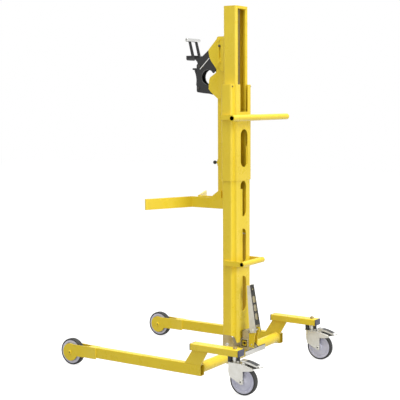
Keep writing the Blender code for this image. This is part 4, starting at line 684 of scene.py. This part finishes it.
# Round-headed screws hold the upper runners in the outer section's shoulders.
SCREW_X, SCREW_Y, SCREW_Z = 0.0795, 0.23275, 1.322
for side, across, outward in SIDES:
    add_bolt(f"runner_screw_{side}", (across * SCREW_X, SCREW_Y, SCREW_Z), "Y",
             radius=0.0036, height=0.0022, body="base", material=blackened_steel_and_shade, sides=32)

# Ram: a single acting cylinder that stands on the pump and lifts the inner section by
# its ground rod. A screwed gland with a wiper closes its top.
low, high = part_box("ram_barrel")
foot = Vector(((low.x + high.x) / 2, (low.y + high.y) / 2, 0.0))
outer = (high.x - low.x) / 2
# The section runs from the floor of the bore up to the gland, over it and down outside.
barrel = turn("ram_cylinder", foot, "Z", [
    (0.0178, low.z + 0.006), (0.0178, high.z - 0.012), (0.0106, high.z - 0.012),
    (0.0103, high.z - 0.0113), (0.0103, high.z - 0.0008), (0.0111, high.z),
    (outer - 0.0012, high.z), (outer, high.z - 0.0012), (outer, high.z - 0.012),
    (outer - 0.0008, high.z - 0.0128), (outer - 0.0008, high.z - 0.0142),
    (outer, high.z - 0.015), (outer, low.z + 0.001), (outer - 0.001, low.z)])
soften(barrel, 0, angle=30)
fit(barrel, "base", "yellow_enamel", yellow_coat, "ram_barrel")
# Ground steel rod, drawn dull and olive brown: painted shade and a painted reflection of
# the yellow channel it runs in. Its tone clouds at random.
rod_steel_in_painted_shade, tree, shader, place = new_finish("rod_steel_in_painted_shade", "6E5D24", 0.55, 0.3)
clouding = add(tree, "ShaderNodeTexNoise", {"Vector": place, "Scale": wave(14.0),
                                        "Detail": 4.0})
colour = add(tree, "ShaderNodeValToRGB", {"Fac": clouding.outputs["Fac"]},
             stops=((0.3, "5F5020"), (0.7, "7C6A2E")))
tree.links.new(colour.outputs["Color"], shader.inputs["Base Color"])
sheen = add(tree, "ShaderNodeMapRange", {"Value": clouding.outputs["Fac"],
                                         "From Min": 0.3, "From Max": 0.7,
                                         "To Min": 0.4, "To Max": 0.6})
tree.links.new(sheen.outputs["Result"], shader.inputs["Roughness"])
dress("ram_piston_rod", "ram_rod", "bright_steel", rod_steel_in_painted_shade, edge=0.0005)

# Handles: round tube across the rear, welded to two flat arms bolted on the mast's
# sides. The high one steers, the low one steadies the machine on a tilt.
# The tubes' bores are black inside: partly bare steel left unpainted there, partly painted
# shade of the deep bores.
END_FACE = 0.001
for name, node, bore in (("steering_handle", "push_handle", 0.0108),
                         ("steadying_handle", "lower_handle", 0.0098)):
    handle = dress(name, node, "yellow_enamel", yellow_coat, edge=0.0006)
    low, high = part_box(node)
    tube = Vector((0.0, high.y - (high.z - low.z) / 2, (low.z + high.z) / 2))
    reach = high.x - END_FACE
    recoat(handle, blackened_steel_and_shade, lambda middle, facing: abs(middle.x) < reach
           and (Vector((0.0, middle.y, middle.z)) - tube).length < bore)

# Foot pump: a die cast body on the cross tube's sleeve with its valve block, a plate
# bracket, a pressed channel for a pedal and a bar under it that lets the load down.
# Zinc alloy, die cast and tumbled: a warm grey with a coarse dull grain.
die_cast, tree, shader, place = new_finish("die_cast_zinc", "B3A98C", 0.5, 0.7)
skin = add(tree, "ShaderNodeTexNoise", {"Vector": place, "Scale": wave(4.0),
                                        "Detail": 5.0, "Roughness": 0.65})
colour = add(tree, "ShaderNodeValToRGB", {"Fac": skin.outputs["Fac"]},
             stops=((0.3, "A39A80"), (0.7, "C4BBA0")))
tree.links.new(colour.outputs["Color"], shader.inputs["Base Color"])
relief = add(tree, "ShaderNodeBump", {"Height": skin.outputs["Fac"],
                                      "Strength": 0.3, "Distance": 0.0004})
tree.links.new(relief.outputs["Normal"], shader.inputs["Normal"])
sheen = add(tree, "ShaderNodeMapRange", {"Value": skin.outputs["Fac"],
                                         "From Min": 0.3, "From Max": 0.7,
                                         "To Min": 0.4, "To Max": 0.62})
tree.links.new(sheen.outputs["Result"], shader.inputs["Roughness"])
casting = dress("pump_casting", "pump_body", "cast_zinc", die_cast, edge=0.0007)
# The valve block's face is black, and the square sunk in it is yellow.
valve_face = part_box("pump_body")[1].x
FACE_LAND, FACE_SUNK = 0.0008, 0.006
recoat(casting, black_enamel, lambda middle, facing:
       abs(middle.x) > valve_face - FACE_LAND and abs(facing.x) > 0.9)
recoat(casting, yellow_coat, lambda middle, facing:
       valve_face - FACE_SUNK < abs(middle.x) < valve_face - FACE_LAND
       and abs(facing.x) > 0.9)
bracket = dress("pump_bracket", "pedal_bracket", "yellow_enamel", yellow_coat,
                edge=0.0005)
# Its pivot pin is bright, between the cheeks and where it stands out of them.
PIN_REACH, CHEEK_REACH = 0.0072, 0.022
pivot = Vector((0.0, *next(joint["pos_m"][1:] for joint in frame["joints"]
                           if joint["name"] == "pump_stroke")))
recoat(bracket, bright_steel, lambda middle, facing: off_axle(middle, pivot) < PIN_REACH
       and (abs(facing.x) < 0.5 or abs(middle.x) > CHEEK_REACH))

# Black tread: near black with patches of bare grey and a gritty bump. On the pedal's
# recessed web its black is painted shade and a painted dark reflection; it also covers the
# bar's upper faces.
black_tread_and_shade, tree, shader, place = new_finish("black_tread_and_painted_shade", "2C2B29", 0.75)
scuffs = add(tree, "ShaderNodeTexNoise", {"Vector": place, "Scale": wave(9.0),
                                          "Detail": 6.0, "Roughness": 0.7})
colour = add(tree, "ShaderNodeValToRGB", {"Fac": scuffs.outputs["Fac"]},
             stops=((0.45, "24231F"), (0.6, "3B3933"), (0.78, "8A867A")))
tree.links.new(colour.outputs["Color"], shader.inputs["Base Color"])
grit = add(tree, "ShaderNodeTexNoise", {"Vector": place, "Scale": wave(1.2),
                                        "Detail": 2.0})
relief = add(tree, "ShaderNodeBump", {"Height": grit.outputs["Fac"],
                                      "Strength": 0.5, "Distance": 0.0005})
tree.links.new(relief.outputs["Normal"], shader.inputs["Normal"])
sheen = add(tree, "ShaderNodeMapRange", {"Value": scuffs.outputs["Fac"],
                                         "From Min": 0.4, "From Max": 0.8,
                                         "To Min": 0.85, "To Max": 0.45})
tree.links.new(sheen.outputs["Result"], shader.inputs["Roughness"])
WEB_REACH = 0.015
pedal = dress("pump_foot_pedal", "pump_pedal", "zinc_plate", zinc_plate, edge=0.0005)
# The web's black is painted shade and a painted dark reflection in the recess.
recoat(pedal, black_tread_and_shade, lambda middle, facing:
       abs(middle.x) < WEB_REACH and abs(facing.x) < 0.5)
bar = dress("lowering_bar", "release_pedal", "zinc_plate", zinc_plate, edge=0.0005)
recoat(bar, black_tread_and_shade, lambda middle, facing: facing.z > 0.5)

# Carriage: a square tube welded down the drum side of the lifting section, with a
# cradle of 8 mm flat bar at its foot and a bumper stud half way up, whose moulded
# rubber buffer is pressed on.
dress("carriage_post", "carriage_bar", "yellow_enamel", yellow_coat)
dress("drum_cradle", "cradle", "yellow_enamel", yellow_coat)
dress("drum_bumper", "bumper", "yellow_enamel", yellow_coat, edge=0.0006)
low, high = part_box("bumper")
BUFFER_LAP = 0.0012
on_stud = Vector((0.0, low.y + BUFFER_LAP, (low.z + high.z) / 2))
buffer = turn("bumper_buffer", on_stud, "-Y", [
    (0.0060, 0.0), (0.0045, 0.0090), (0.0066, 0.0096), (0.0080, 0.0110),
    (0.0084, 0.0130), (0.0084, 0.0165), (0.0076, 0.0195), (0.0058, 0.0212),
    (0.0030, 0.0220)], sides=48)
soften(buffer, 0, angle=50)
fit(buffer, "carriage", "black_rubber", black_rubber)

# Clamp head: yellow side brackets with slotted adjusting plates hold a pair of black
# cheeks. Two jaws on pins grip the drum's rim, and a hand grip lifts the upper one.
for side in ("left", "right"):
    dress(f"head_side_plate_{side}", f"head_bracket_{side}", "yellow_enamel", yellow_coat)
    dress(f"height_plate_{side}", f"adjuster_plate_{side}", "yellow_enamel", yellow_coat,
          edge=0.0006)
    dress(f"clamp_plate_{side}", f"clamp_cheek_{side}", "black_enamel", black_enamel,
          edge=0.0006)
# A bolt on a washer clamps each adjusting plate at the top of its slot.
SLOT_BOLT_Y, SLOT_BOLT_Z = 0.13675, 1.508
for side, across, outward in SIDES:
    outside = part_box(f"adjuster_plate_{side}")[1 if across > 0 else 0].x
    add_bolt(f"slot_bolt_{side}", (outside, SLOT_BOLT_Y, SLOT_BOLT_Z), outward,
             radius=0.0042, height=0.0040, body="carriage", material=blackened_steel_and_shade,
             washer=0.0060)
for end in ("upper", "lower"):
    dress(f"{end}_head_bolt", f"head_bolt_{end}", "yellow_enamel", yellow_coat,
          edge=0.0005)
    dress(f"{end}_pivot_pin", f"{end}_jaw_pin", "zinc_plate", blackened_steel_and_shade, edge=0.0005)
    dress(f"{end}_rim_jaw", f"{end}_jaw", "black_enamel", black_enamel, edge=0.0007)
dress("jaw_link", "link_rod", "bright_steel", bright_steel, edge=0)
low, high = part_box("jaw_grip")
half = (high.x - low.x) / 2
grip = turn("jaw_hand_grip", (low + high) / 2, "X", [
    (0.0058, half - 0.012), (0.0060, half - 0.0008), (0.0068, half),
    (0.0082, half - 0.0003), (0.0090, half - 0.0014), (0.0090, 0.0014 - half),
    (0.0082, 0.0003 - half), (0.0068, -half), (0.0060, 0.0008 - half),
    (0.0058, 0.012 - half)], sides=48)
soften(grip, 0, angle=50)
fit(grip, "upper_jaw", "zinc_plate", bright_steel, "jaw_grip")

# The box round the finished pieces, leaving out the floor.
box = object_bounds()
